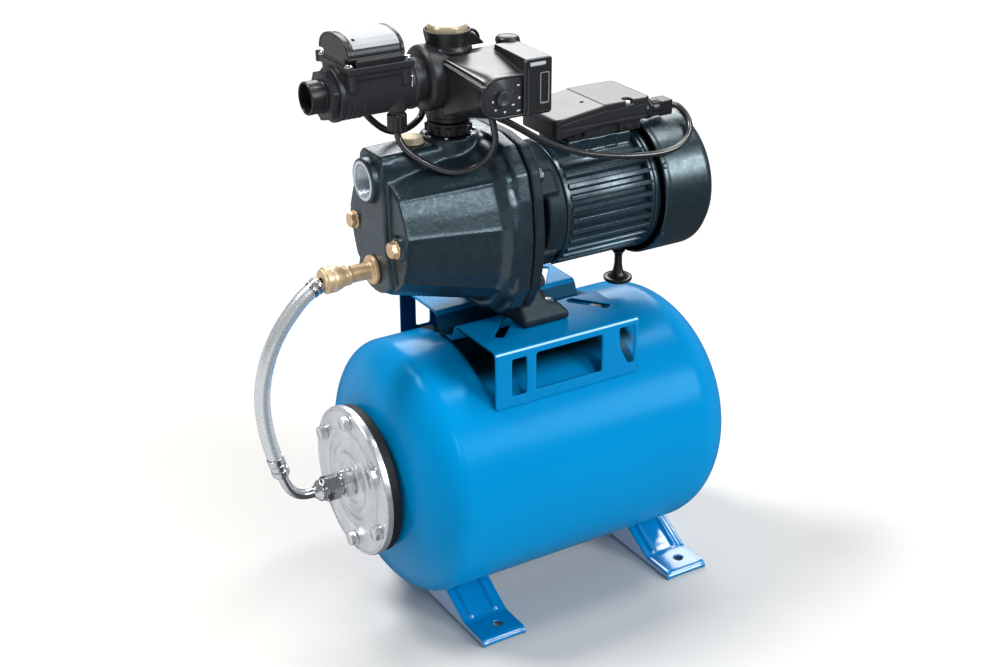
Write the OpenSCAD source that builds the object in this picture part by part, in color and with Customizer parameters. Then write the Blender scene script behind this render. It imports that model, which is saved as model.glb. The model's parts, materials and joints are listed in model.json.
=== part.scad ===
// Booster pump set: a self-priming jet pump and its motor on a horizontal
// pressure tank, with an electronic pressure control, a flow switch and a
// steel-braided hose from the tank to the pump.
// X runs from the tank flange to the motor fan and Z is up. The origin is the
// centre of the four foot holes, on the floor.

/* [Tank] */
// Outer radius of the tank shell
tank_r = 133.4; // [131:0.2:135]
// Height of the tank axis above the floor
tank_z = 163.8; // [162:0.2:166]
// Wall thickness of the tank shell
tank_wall = 2; // [1.5:0.5:3]
// Front end of the tank's straight part
tank_front = -161; // [-162:1:-156]
// Rear end of the tank's straight part
tank_rear = 113.5; // [110:0.5:118]
// Depth of the front dome
dome_front = 51; // [50:0.5:52]
// Depth of the rear dome
dome_rear = 76; // [70:1:80]
// Outer radius of the tank flange
flange_r = 77.7; // [76.5:0.1:79]
// Radius of the circle that the flange bolts stand on
flange_bolt_r = 65; // [64:0.5:66]
// Number of flange bolts
flange_bolt_n = 6; // [4:1:8]

/* [Feet and carrier] */
// Distance of each foot's middle from the middle of the tank
foot_x = 117; // [112:1:120]
// Width of a foot along the tank
foot_w = 51; // [46:1:56]
// Length of a foot across the tank
foot_len = 235; // [226:1:240]
// Sheet thickness of the feet
foot_t = 2.2; // [2:0.1:2.6]
// Foot holes' distance apart across the tank
foot_hole_y = 190; // [186:1:194]
// Radius of a foot hole
foot_hole_r = 4.5; // [4:0.25:5]
// Foot holes' offset from the middle of the foot, towards the rear
foot_hole_off = 4.5; // [3:0.5:6]
// Height of the carrier plate's top above the floor
plate_z = 317.5; // [316.5:0.5:319]
// Sheet thickness of the carrier plate
plate_t = 3; // [2.5:0.5:3]

/* [Pump and motor] */
// Height of the shaft axis above the floor
axis_z = 421; // [420:1:422]
// Radius of the motor shaft
shaft_r = 7.5; // [7:0.25:8]
// Radial running clearance of the shaft in its bearings
bearing_gap = 0.05; // [0.03:0.01:0.08]
// Radius over the motor's cooling fins
fin_r = 65; // [64:0.5:66]
// Number of fin places around the motor
fin_n = 34; // [30:2:38]
// Outer radius of the fan cover
cover_r = 73.6; // [72:0.2:74]
// Number of impeller vanes
vane_n = 6; // [5:1:7]
// Number of cooling fan blades
fan_n = 7; // [5:1:9]
// Radius of the suction port's bore
suction_r = 15.1; // [14.5:0.1:16]

/* [Control] */
// Travel of the push button
button_travel = 1.5; // [1:0.1:1.8]
// Radius of the outlet spigot's bore
outlet_r = 13.2; // [12:0.2:13.4]
// Across flats of the brass top plug
top_plug_af = 33.5; // [32:0.5:35]

/* [Hidden] */
$fn = 72;

steel_blue = [0.0, 0.58, 0.86];
cast = [0.17, 0.23, 0.28];
black = [0.12, 0.12, 0.13];
bright = [0.78, 0.79, 0.80];
brass = [0.78, 0.64, 0.42];

disc_x = -109;      // discharge, lock ring, controller body: one vertical axis
suction_z = 479.3;  // axis of the suction port
nipple_z = tank_z;  // the hose connection is on the tank axis
hose_r = 7.6;
head_y = -80;       // front of the control head
bezel_r = 19.5;     // rounded end of the panel
bezel_x = -101;
bezel_z = 563.4;
button_x = -98.3;

// Everything below is measured from the middle of the feet; the origin is the
// centre of their holes.
module place() { translate([-foot_hole_off, 0, 0]) children(); }
module xcyl(x0, x1, r, y = 0, z = 0) { translate([x0, y, z]) rotate([0, 90, 0]) cylinder(r = r, h = x1 - x0); }
module xcone(x0, x1, r0, r1, y = 0, z = 0) { translate([x0, y, z]) rotate([0, 90, 0]) cylinder(r1 = r0, r2 = r1, h = x1 - x0); }
module ycyl(y0, y1, r, x = 0, z = 0) { translate([x, y0, z]) rotate([-90, 0, 0]) cylinder(r = r, h = y1 - y0); }
module zcyl(z0, z1, r, x = 0, y = 0) { translate([x, y, z0]) cylinder(r = r, h = z1 - z0); }
module xring(x0, x1, ro, ri, y = 0, z = 0) { difference() { xcyl(x0, x1, ro, y, z); xcyl(x0 - 1, x1 + 1, ri, y, z); } }
module zring(z0, z1, ro, ri, x = 0, y = 0) { difference() { zcyl(z0, z1, ro, x, y); zcyl(z0 - 1, z1 + 1, ri, x, y); } }
module xhex(x0, x1, af, y = 0, z = 0, turn = 0) { translate([x0, y, z]) rotate([0, 90, 0]) rotate([0, 0, turn]) cylinder(r = af / sqrt(3), h = x1 - x0, $fn = 6); }
module zhex(z0, z1, af, x = 0, y = 0, turn = 0) { translate([x, y, z0]) rotate([0, 0, turn]) cylinder(r = af / sqrt(3), h = z1 - z0, $fn = 6); }
// A profile of [radius, x] points turned about the X direction
module xrev(pts, z = 0) { translate([0, 0, z]) rotate([0, 90, 0]) rotate_extrude() polygon(pts); }
// A [y, z] outline run along X
module xslab(x0, x1, pts) { translate([x0, 0, 0]) rotate([90, 0, 90]) linear_extrude(x1 - x0) polygon(pts); }
// A [x, z] outline run along Y
module yslab(y0, y1, pts) { translate([0, y1, 0]) rotate([90, 0, 0]) linear_extrude(y1 - y0) polygon(pts); }
module box(x0, x1, y0, y1, z0, z1) { translate([x0, y0, z0]) cube([x1 - x0, y1 - y0, z1 - z0]); }
function mirrored(h) = concat(h, [for (i = [len(h) - 1:-1:0]) if (abs(h[i][0]) > 0.01) [-h[i][0], h[i][1]]]);
function scaled(h, k, c) = [for (p = h) [p[0] * k, c + (p[1] - c) * k]];

// ---- swept leads and hose: rings of a round section along a route ----
function unit(v) = v / norm(v);
function cat(a, i, k) = a[min(max(i + k, 0), len(a) - 1)];
// smooth route: n points per stretch through the hand-chosen points
function smooth(p, n) = concat([for (i = [0:len(p) - 2], j = [0:n - 1])
    let (t = j / n, a = cat(p, i, -1), b = p[i], c = p[i + 1], d = cat(p, i, 2))
    0.5 * ((2 * b) + (c - a) * t + (2 * a - 5 * b + 4 * c - d) * t * t + (3 * b - a - 3 * c + d) * t * t * t)], [p[len(p) - 1]]);
function tang(p, i) = unit(cat(p, i, 1) - cat(p, i, -1));
function frames(p, i, u) = i >= len(p) ? [] : let (t = tang(p, i), w = unit(u - (u * t) * t)) concat([[w, cross(t, w)]], frames(p, i + 1, w));
module sweep(p, r, s, u) {
  f = frames(p, 0, u);
  pts = [for (i = [0:len(p) - 1], k = [0:s - 1]) p[i] + r * (f[i][0] * cos(360 * k / s) + f[i][1] * sin(360 * k / s))];
  n = len(p);
  sides = [for (i = [0:n - 2], k = [0:s - 1], h = [0, 1])
      let (a = i * s + k, b = i * s + (k + 1) % s)
      h == 0 ? [a, b, b + s] : [a, b + s, a + s]];
  polyhedron(points = pts, faces = concat([[for (k = [0:s - 1]) k]], [[for (k = [s - 1:-1:0]) (n - 1) * s + k]], [for (q = sides) [q[0], q[2], q[1]]]));
}

// routes, in the datum of the feet
hose_route = [[-306.5, 0, 211], [-310.8, 0, 227], [-314, 0, 243], [-316.2, 0, 262], [-316.4, 0, 283], [-312.8, 0, 305], [-305.8, 0, 326], [-295.6, 0, 345], [-282, 0, 362], [-269.4, 0, 374], [-257.6, 0, 382.3]];
sensor_route = [[-171, -14, 528], [-170.3, -15.1, 519.2], [-165.4, -22, 508.7], [-151.3, -30.2, 496.7], [-133.1, -41.6, 488.5], [-114.1, -49.8, 489.7], [-100, -56, 500], [-94, -60, 515], [-95, -60, 530], [-97, -59, 540]];
motor_route = [[-94, -68, 540.5], [-84, -68, 535], [-70, -67, 526], [-45, -65, 510], [-12, -64, 494], [24, -63, 482.5], [60, -62, 475], [96, -62, 471.5], [120, -60, 473.5], [136, -54, 479], [145.5, -45, 486.5], [148, -35, 495], [143.5, -25.5, 503], [134.5, -22, 505]];
rear_route = [[-188, 20, 543], [-186, 20, 537], [-179, 20, 528.5], [-168, 20, 519], [-156, 20.5, 514], [-144, 21.5, 514], [-133, 23, 517.5], [-125, 24.5, 523], [-123, 24, 531], [-122.5, 22.5, 542.6]];

// ---- tank ----
// end dome, a little fuller than an ellipse; f is the power of the section
function dome_at(r, edge, f) = acos(pow(edge / r, f / 2));
function dome(x0, s, depth, r, a0, a1, n, f) = [for (i = [0:n]) let (a = a0 + (a1 - a0) * i / n)
    [r * pow(max(cos(a), 0), 2 / f), x0 + s * depth * pow(max(sin(a), 0), 2 / f)]];
neck_r = 51;
ring_x = -214;      // front of the tank's own flange ring
bolt_turn = -3;     // turn of the flange bolts from the vertical

module tank_shell() {
  place() color(steel_blue) {
    difference() {
      xrev(concat(
        [[48, ring_x], [76, ring_x], [76, ring_x + 4], [neck_r, ring_x + 4]],
        dome(tank_front, -1, dome_front, tank_r, dome_at(tank_r, neck_r, 2.14), 0, 20, 2.14),
        dome(tank_rear, 1, dome_rear, tank_r, 0, dome_at(tank_r, 6, 2.09), 24, 2.09),
        dome(tank_rear, 1, dome_rear - tank_wall, tank_r - tank_wall, dome_at(tank_r - tank_wall, 6, 2.09), 0, 24, 2.09),
        dome(tank_front, -1, dome_front - tank_wall, tank_r - tank_wall, 0, dome_at(tank_r - tank_wall, 48, 2.14), 20, 2.14)
        ), tank_z);
      for (i = [0:flange_bolt_n - 1]) rotate_about_tank(360 / flange_bolt_n * i + bolt_turn)
        xcyl(ring_x - 2, ring_x + 5, 4, 0, flange_bolt_r);
    }
    // boss of the air valve
    translate([0, 0, tank_z]) difference() {
      xcyl(tank_rear + dome_rear - 1.2, tank_rear + dome_rear + 6, 11);
      xcyl(tank_rear + dome_rear - 6, tank_rear + dome_rear + 8, 6);
    }
  }
}
module rotate_about_tank(a) { translate([0, 0, tank_z]) rotate([a, 0, 0]) children(); }

module tank_bladder() {
  place() color(black) difference() {
    xrev(concat(
      [[44, -224.2], [72.8, -224.2], [74.9, -222], [74.9, -220], [76, -220], [76, ring_x], [47.6, ring_x], [47.6, -204]],
      [for (i = [0:12]) let (a = 90 - 90 * i / 12) [47.6 + 62 * cos(a), -148 - 56 * sin(a)]],
      [for (i = [0:14]) let (a = 90 * i / 14) [109.6 * cos(a), 104 + 58 * sin(a)]],
      [for (i = [14:-1:0]) let (a = 90 * i / 14) [107.4 * cos(a), 104 + 55.8 * sin(a)]],
      [for (i = [12:-1:0]) let (a = 90 - 90 * i / 12) [47.4 + 60 * cos(a), -148 - 53.8 * sin(a)]],
      [[44, -200]]), tank_z);
    for (i = [0:flange_bolt_n - 1]) rotate_about_tank(360 / flange_bolt_n * i + bolt_turn)
      xcyl(-226, -212, 4.3, 0, flange_bolt_r);
  }
}

// stamped foot: saddle under the tank, sloped webs, floor pads, turned-down edges
module foot(cx) {
  h = foot_len / 2;
  t = foot_t;
  w = foot_w;
  top = [[0, 29.6], [34, 29.6], [40, 27.6], [76, 7.5], [80, 6.4], [h - 6, 6.4], [h - 2, 5], [h, 1.6], [h, 0]];
  low = [[h - t, 0], [h - t, 1.2], [h - 3.6, 3.2], [h - 7, 6.4 - t], [80.5, 6.4 - t], [77, 7.5 - t], [39.4, 27.6 - t - 0.3], [33.6, 29.6 - t], [0, 29.6 - t]];
  difference() {
    union() {
      xslab(cx - w / 2, cx + w / 2, concat(top, low));
      mirror([0, 1, 0]) xslab(cx - w / 2, cx + w / 2, concat(top, low));
      for (x = [cx - w / 2, cx + w / 2 - t])
        xslab(x, x + t, mirrored([[0, 29], [33.8, 29], [39.8, 27], [76.3, 6.9], [80.2, 5.8], [h - 6.2, 5.8], [h - 2.2, 4.4], [h - 0.4, 1.6], [h - 0.4, 0]]));
    }
    xcyl(cx - w, cx + w, tank_r, 0, tank_z);
    for (s = [-1, 1]) zcyl(-1, 20, foot_hole_r, cx + foot_hole_off, s * foot_hole_y / 2);
    // relief notch beside the end lip of the rear edge
    for (s = [-1, 1]) box(cx + w / 2 - t - 0.1, cx + w / 2 + 1, s > 0 ? h - 22 : -h + 13, s > 0 ? h - 13 : -h + 22, -1, 4.2);
  }
}
module front_foot() { place() color(steel_blue) foot(-foot_x); }
module rear_foot() { place() color(steel_blue) foot(foot_x); }

plate_x0 = -116.5;
plate_x1 = 52.5;
plate_y = 98;
module plate_slot(x0, y0, x1, y1) {
  a = atan2(y1 - y0, x1 - x0);
  l = norm([x1 - x0, y1 - y0]);
  translate([x0, y0, 0]) rotate([0, 0, a]) box(0, l, -4, 4, 300, 330);
}
module carrier_plate() {
  b = tank_z + tank_r;   // ridge line of the tank
  z = plate_z;
  t = plate_t;
  place() color(steel_blue) difference() {
    union() {
      // top sheet with the channel pressed down to the tank's ridge
      xslab(plate_x0, plate_x1, mirrored([[0, b + t], [9, b + t], [12, b + t + 2], [18, z - 2], [21, z], [plate_y - 3, z], [plate_y - 0.8, z - 0.9], [plate_y, z - 3],
          [plate_y, z - 6], [plate_y - t, z - 6], [plate_y - t, z - t], [22.4, z - t], [20.6, z - t - 1], [14.2, b + 1.4], [11, b + 0.1], [0, b + 0.1]]));
      for (s = [-1, 1]) difference() {
        box(plate_x0, plate_x1, s > 0 ? plate_y - t : -plate_y, s > 0 ? plate_y : -plate_y + t, 240, z - 4);
        // windows in the side flange
        for (wd = [[-97, -81, 268, 307], [-69, 8, 268.5, 308]]) box(wd[0], wd[1], -120, 120, wd[2], wd[3]);
        yslab(-120, 120, [[29, 310], [47, 310], [47, 269], [41, 269], [31, 288]]);
        // slanted lower end corners
        yslab(-120, 120, [[plate_x0 - 1, 239], [plate_x0 + 8, 239], [plate_x0 - 1, 262]]);
      }
    }
    xcyl(-300, 300, tank_r, 0, tank_z);
    for (s = [-1, 1]) {
      plate_slot(-92, s * 64, -57, s * 28);
      plate_slot(15, s * 26, 41, s * 60);
    }
    for (s = [-1, 1]) zcyl(305, 330, 4.6, -24, s * 44);
  }
}

// ---- tank flange and its fittings ----
module tank_flange() {
  f = -227;
  place() color(bright) difference() {
    xrev([[13, f - 1.6], [20, f - 1.6], [22.5, f], [30, f], [32.5, f - 1.4], [37.5, f - 1.4], [40, f],
      [flange_r - 4, f], [flange_r - 1.2, f + 1.2], [flange_r, f + 4], [flange_r, -220], [flange_r - 2.4, -220], [flange_r - 2.4, f + 4.8], [flange_r - 4.6, f + 2.6],
      [40.6, f + 2.6], [38, f + 1.2], [32, f + 1.2], [29.4, f + 2.6], [22, f + 2.6], [19.4, f + 1], [13, f + 1]], tank_z);
    for (i = [0:flange_bolt_n - 1]) rotate_about_tank(360 / flange_bolt_n * i + bolt_turn)
      xcyl(f - 3, f + 6, 4.5, 0, flange_bolt_r);
  }
}
module flange_bolts() {
  place() color(bright) for (i = [0:flange_bolt_n - 1]) rotate_about_tank(360 / flange_bolt_n * i + bolt_turn) {
    xcyl(-228.6, -227.1, 8, 0, flange_bolt_r);
    xhex(-234, -228.6, 13, 0, flange_bolt_r);
    xcyl(-227.1, -208.8, 3.9, 0, flange_bolt_r);
  }
}
module air_valve() {
  e = tank_rear + dome_rear;
  place() color(brass) translate([0, 0, tank_z]) difference() {
    union() { xcyl(e - 8, e + 6, 5.95); xcyl(e + 6, e + 8, 8); xcyl(e + 8, e + 22, 3.8); }
    xcyl(e - 10, e + 24, 1.6);
  }
}
module air_valve_cap() {
  e = tank_rear + dome_rear;
  place() color(black) translate([0, 0, tank_z]) difference() {
    xcyl(e + 10, e + 26, 6);
    xcyl(e + 9, e + 23, 3.9);
  }
}
module flange_nipple() {
  place() color(bright) difference() {
    union() {
      xcyl(-227, -219, 12.9, 0, nipple_z);
      xhex(-241, -228.7, 27, 0, nipple_z);
      xcyl(-228.7, -227, 12.9, 0, nipple_z);
      xcyl(-253, -241, 10.1, 0, nipple_z);
    }
    xcyl(-260, -210, 6.5, 0, nipple_z);
  }
}
module swivel_nut() {
  place() color(bright) difference() {
    union() { xhex(-258.4, -243, 24, 0, nipple_z, 12); xcyl(-260, -258.4, 11.4, 0, nipple_z); }
    xcyl(-255.5, -242, 10.4, 0, nipple_z);
    xcyl(-262, -255, 8.05, 0, nipple_z);
  }
}
// steel elbow: from the swivel nut round to the lower ferrule
elbow_route = [[-266, 0, 165], [-272.5, 0, 165], [-280, 0, 166.2], [-286.8, 0, 169.5], [-292.2, 0, 174.5], [-296.2, 0, 180.5], [-299.4, 0, 188], [-301.8, 0, 196]];
module hose_elbow() {
  dz = nipple_z - 165;
  place() color(bright) translate([0, 0, dz]) {
    difference() {
      union() {
        xcyl(-255.3, -253.3, 9.9, 0, 165);
        xcyl(-262, -255.3, 8, 0, 165);
        xcone(-268, -262, 6.4, 11, 0, 165);
      }
      xcyl(-264.5, -250, 3.5, 0, 165);
    }
    sweep(smooth(elbow_route, 2), 5, 16, [0, 1, 0]);
  }
}
module at_lower_ferrule() { translate([-301.3, 0, 194 + nipple_z - 165]) rotate([0, -16.5, 0]) children(); }
module at_upper_ferrule() { translate([-249.2, 0, 387.3]) rotate([0, -120.7, 0]) children(); }
module hose_ferrules() {
  place() color(bright) {
    difference() {
      at_lower_ferrule() difference() {
        union() { cylinder(r = 7, h = 2.4); translate([0, 0, 2.4]) cylinder(r = 8.8, h = 6.6); translate([0, 0, 9]) cylinder(r = 8.5, h = 15); }
        translate([0, 0, -1]) cylinder(r = 5.2, h = 26);
      }
      hose_solid(hose_r + 0.06);
    }
    // the upper one ends at the brass nut's face and has a stem in its bore
    difference() {
      union() {
        at_upper_ferrule() { cylinder(r = 7.4, h = 3); translate([0, 0, 3]) cylinder(r = 8.8, h = 5); translate([0, 0, 8]) cylinder(r = 8.5, h = 5); }
      }
      box(-249.02, -230, -20, 20, 370, 400);
      at_upper_ferrule() translate([0, 0, 1]) cylinder(r = 2.4, h = 16);
      xcyl(-255, -240, 2.4, 0, 388);
      hose_solid(hose_r + 0.06);
    }
    xring(-250.5, -243, 3.95, 2.4, 0, 388);
  }
}
module hose_solid(r) { sweep(smooth(hose_route, 2), r, 12, [0, 1, 0]); }
module braided_hose() { place() color(bright) hose_solid(hose_r); }
module brass_elbow_nut() {
  place() color(brass) difference() {
    union() {
      xcyl(-249, -246.8, 11.4, 0, 388);
      xcyl(-246.8, -236, 13, 0, 388);
      xcone(-236, -226.4, 13, 9.4, 0, 388);
      xcyl(-226.4, -224, 9.4, 0, 388);
    }
    xcyl(-252, -220, 4, 0, 388);
  }
}
module brass_adapter() {
  place() color(brass) difference() {
    union() {
      xcyl(-224, -220, 9.9, 0, 388.4);
      xcyl(-220, -197.8, 8.4, 0, 388.4);
      xcyl(-197.8, -193.2, 14.5, 0, 388.4);
      xcyl(-193.2, -184.5, 9.9, 0, 388.4);
    }
    xcyl(-230, -180, 5, 0, 388.4);
  }
}

// ---- pump ----
cf = [[0, 483], [22, 481], [41.5, 468.7], [51, 456], [57.4, 435], [57, 421], [53.4, 405], [45.6, 387], [36, 377], [22, 368], [0, 364]];
cr = [[0, 502], [22, 502.5], [42, 495], [61, 476], [73, 455], [79.4, 434], [80.5, 411], [75, 390], [63, 369], [45, 352], [24, 343], [0, 341]];
ce = [[0, 503], [24, 503], [47, 497], [65, 480], [77, 456], [82, 434], [83, 410], [77.5, 386], [66, 363], [48, 344], [26, 335], [0, 333]];
pad = [[0, 500], [22.5, 500], [22.3, 477.7], [24.5, 459], [24.3, 436], [27.5, 402], [34.5, 381], [24, 371.5], [10, 366.5], [0, 365.5]];
rf = [[0, 506], [16, 506], [21, 502], [23, 494], [23, 470], [0, 462]];
rr = [[0, 508.5], [20, 508.5], [23, 504.5], [23, 478], [0, 470]];
flange_out = [[0, 511], [22, 511], [50, 505], [72, 483], [79, 458], [83, 421], [82, 400], [77, 368], [63, 343], [42, 330], [0, 327]];
module pump_casing() {
  place() color(cast) difference() {
    union() {
      hull() { xslab(-187.5, -187, mirrored(cf)); xslab(-92, -91, mirrored(cr)); }
      hull() { xslab(-91.5, -91, mirrored(cr)); xslab(-80, -79, mirrored(ce)); }
      hull() { xslab(-193, -192, mirrored(rf)); xslab(-84, -79, mirrored(rr)); }
      // raised pad below the suction port
      xslab(-193, -182, mirrored(pad));
      xslab(-79.5, -64, mirrored(flange_out));
      xcyl(-202.4, -178, 22, 0, suction_z);
      zcyl(492, 512, 27.5, disc_x);
      for (s = [-1, 1]) xcyl(plug_x(s), -184, 12, s * 45, 424);
      zcyl(500, 507.8, 12.6, -149);
    }
    // waterway
    hull() {
      xslab(-181, -180, mirrored([[0, 475], [19, 475], [37, 464], [46, 453], [52, 434], [52, 421], [49, 407], [41.5, 391], [32, 382], [20, 375], [0, 371]]));
      xslab(-91, -89, mirrored([[0, 494], [20, 494], [37, 487], [55, 471], [66.5, 452], [73, 433], [74, 411], [69, 393], [58, 373], [42, 358], [23, 350], [0, 348.5]]));
    }
    xcyl(-90, -60, 69, 0, axis_z);
    hull() { xslab(-181, -180, mirrored([[0, 497], [15, 497], [16.5, 490], [16.5, 465], [0, 465]])); xslab(-100, -99, mirrored([[0, 501], [15, 501], [16.5, 494], [16.5, 480], [0, 480]])); }
    xcyl(-204, -176, suction_r, 0, suction_z);
    zcyl(490, 514, 15.2, disc_x);
    xcyl(-195, -176, 9.9, 0, 388.4);
    for (s = [-1, 1]) xcyl(-195, -178, 6.5, s * 45, 424);
    zcyl(496, 512, 8.2, -149);
    for (s = [-1, 1], q = [[60, 474], [64, 367]]) xcyl(-78, -60, 4, s * q[0], q[1]);
  }
}
module casing_seal() { place() color(black) xring(-64, -62, 74, 69.5, 0, axis_z); }
module casing_bolts() {
  place() color(bright) for (s = [-1, 1], q = [[60, 474], [64, 367]]) {
    xcyl(-76, -50, 3.9, s * q[0], q[1]);
    xcyl(-50, -48.4, 8, s * q[0], q[1]);
    xhex(-48.4, -43, 13, s * q[0], q[1]);
  }
}
// front of the boss that carries each gauge plug
function plug_x(s) = s > 0 ? -188.5 : -192;
module gauge_plugs() {
  place() color(brass) for (s = [-1, 1]) translate([plug_x(s), 0, 0]) {
    xcyl(0, 9, 6.4, s * 45, 424);
    xcyl(-1.6, 0, 9, s * 45, 424);
    xhex(-7, -1.6, 14, s * 45, 424, 30);
  }
}
module priming_plug() {
  place() color(brass) {
    zcyl(499, 507.8, 8.1, -149);
    zcyl(507.8, 509.8, 12.2, -149);
    intersection() {
      zhex(509.8, 514, 21, -149, 0, 10);
      union() { zcyl(509, 512.9, 13, -149); translate([-149, 0, 512.9]) cylinder(r1 = 12.2, r2 = 10.6, h = 1.2); }
    }
  }
}
bracket_out = [[0, 509], [22, 509], [50, 504], [71, 483], [78, 458], [82, 421], [81, 400], [76, 370], [63, 345], [42, 330], [30, 318], [0, 318]];
module motor_bracket() {
  place() color(cast) difference() {
    union() {
      xslab(-62, -50, mirrored(bracket_out));
      // spigot that centres the casing
      xcyl(-66, -62, 69, 0, axis_z);
      // adapter ring and bearing hub, joined by four ribs
      xring(-33, -12, 63, 54, 0, axis_z);
      xcyl(-62, -12, 23, 0, axis_z);
      xcyl(-33, -28, 60, 0, axis_z);
      for (a = [38, 142, 218, 322]) translate([0, 0, axis_z]) rotate([a, 0, 0]) box(-52, -20, 44, 66, -12, 12);
      // pedestal
      hull() {
        box(-62, -9, -64, 64, plate_z, 325);
        box(-62, -46, -34, 34, 366, 370);
      }
    }
    xcyl(-70, -5, 9, 0, axis_z);            // shaft passage
    xcyl(-70, -54, 14.5, 0, axis_z);        // seal seat pocket
    xcyl(-24, -5, 17.5, 0, axis_z);         // bearing pocket
    for (s = [-1, 1], q = [[60, 474], [64, 367]]) {
      xcyl(-63, -40, 4.2, s * q[0], q[1]);
      xcyl(-50, -5, 9.5, s * q[0], q[1]);
    }
    // arch between the two feet of the pedestal
    hull() { xcyl(-70, 0, 16, 0, 322); box(-70, 0, -24, 24, 312, 316); }
    for (s = [-1, 1]) {
      zcyl(310, 330, 4.6, -24, s * 44);
      zcyl(327, 380, 10, -24, s * 44);
    }
  }
}
module pedestal_bolts() {
  place() color(bright) for (s = [-1, 1]) {
    zcyl(306, 327, 3.9, -24, s * 44);
    zcyl(327, 328.6, 8.4, -24, s * 44);
    zhex(328.6, 334, 13, -24, s * 44, 15);
    difference() { zhex(307.6, 314.2, 13, -24, s * 44, 15); zcyl(300, 320, 3.9, -24, s * 44); }
  }
}
module impeller() {
  place() color(brass) difference() {
    union() {
      xcyl(-78, -75, 52, 0, axis_z);
      xcyl(-87.2, -75, 14, 0, axis_z);
      for (i = [0:vane_n - 1]) translate([0, 0, axis_z]) rotate([i * 360 / vane_n, 0, 0])
        intersection() {
          xring(-88, -77.5, 44, 41.6, 24, 0);
          xcyl(-88, -77.5, 51.8);
          box(-88, -77.5, -60, 30, 0, 60);
        }
    }
    xcyl(-95, -70, shaft_r, 0, axis_z);
  }
}
module diffuser() {
  place() color(black) difference() {
    union() {
      xring(-94, -66.2, 66, 62, 0, axis_z);
      xcyl(-94, -91, 66, 0, axis_z);
      for (i = [0:8]) translate([0, 0, axis_z]) rotate([i * 40, 0, 0]) box(-91, -70, 55, 63, -1, 1);
    }
    xcyl(-100, -90, 20.2, 0, axis_z);
  }
}
module ejector() {
  place() color(black) difference() {
    union() {
      xcyl(-170, -88, 13, 0, axis_z);
      xcyl(-176, -168, 20, 0, axis_z);
      xcyl(-96, -92.5, 20, 0, axis_z);
    }
    xcone(-180, -150, 16, 6, 0, axis_z);
    xcyl(-151, -140, 6, 0, axis_z);
    xcone(-140.5, -86, 6, 10, 0, axis_z);
  }
}
module seal_seat() { place() color([0.85, 0.84, 0.8]) xring(-61.5, -54, 14.45, shaft_r + 0.6, 0, axis_z); }
module seal_head() { place() color(black) difference() { union() { xcyl(-74.8, -67, 16, 0, axis_z); xcyl(-67, -61.8, 13, 0, axis_z); } xcyl(-80, -55, shaft_r, 0, axis_z); } }
module motor_shaft() {
  place() color(bright) {
    xcyl(-96, 142, shaft_r, 0, axis_z);
    xhex(-102, -96, 13, 0, axis_z);
  }
}
module rotor_core() { place() color([0.6, 0.6, 0.62]) xring(6, 74, 27, shaft_r, 0, axis_z); }
module stator() {
  place() color([0.55, 0.35, 0.2]) difference() {
    union() { xcyl(8, 72, 56.9, 0, axis_z); xcyl(-6, 86, 49, 0, axis_z); }
    xcyl(-10, 90, 27.8, 0, axis_z);
    xcyl(-10, 2, 34, 0, axis_z);
    xcyl(78, 90, 34, 0, axis_z);
  }
}
module bearing(x0, x1) { xring(x0, x1, 17.4, shaft_r + bearing_gap, 0, axis_z); }
module front_bearing() { place() color(bright) bearing(-23.8, -13); }
module rear_bearing() { place() color(bright) bearing(92, 103); }
module motor_housing() {
  place() color(cast) difference() {
    union() {
      xcyl(-12, 92, 60, 0, axis_z);
      for (i = [0:fin_n - 1]) let (a = (i + 0.12) * 360 / fin_n)
        if (abs(a - 90) > 30 && abs(a - 270) > 16)
          translate([0, 0, axis_z]) rotate([a, 0, 0]) box(-7, 91.4, 58.5, fin_r, -2.4, 2.4);
      // flat seat of the terminal box
      box(10, 86, -27, 27, 470, 488);
      // lower keel
      box(-7, 90.8, -6, 6, 355.5, 362.4);
      xcyl(-12, -6, 63, 0, axis_z);
    }
    xcyl(-20, 100, 57, 0, axis_z);
    box(16, 80, -21, 21, 462, 500);
  }
}
module rear_shield() {
  place() color(cast) difference() {
    union() {
      xcyl(92, 98, 66, 0, axis_z);
      xcyl(88, 92, 56.9, 0, axis_z);
      xcyl(90, 108, 23, 0, axis_z);
    }
    xcyl(87, 104, 17.5, 0, axis_z);
    xcyl(100, 115, 9, 0, axis_z);
    xring(80, 96, 54, 26, 0, axis_z);
  }
}
module cooling_fan() {
  place() color(black) difference() {
    union() {
      xcyl(116, 140, 13, 0, axis_z);
      xcyl(118, 121, 40, 0, axis_z);
      for (i = [0:fan_n - 1]) translate([0, 0, axis_z]) rotate([i * 360 / fan_n, 0, 0]) box(118, 138, 12, 60, -1.3, 1.3);
    }
    xcyl(110, 145, shaft_r, 0, axis_z);
  }
}
module fan_cover() {
  place() color(cast) difference() {
    xrev([[cover_r, 99], [cover_r, 152], [cover_r - 1.6, 156], [cover_r - 4.6, 157.4], [cover_r - 5.6, 160.4], [cover_r - 8, 161], [0, 161], [0, 159.4],
      [cover_r - 8.4, 159.4], [cover_r - 7, 158.6], [cover_r - 6, 156], [cover_r - 3, 154.6], [cover_r - 1.8, 151.6], [cover_r - 1.8, 99]], axis_z);
    // concentric air slots, left open between eight ribs
    for (k = [0:4]) difference() {
      xring(155, 165, 22 + k * 9, 17 + k * 9, 0, axis_z);
      for (a = [0:45:135]) translate([0, 0, axis_z]) rotate([a + 22.5, 0, 0]) box(150, 168, -75, 75, -2.5, 2.5);
    }
  }
}
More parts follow.
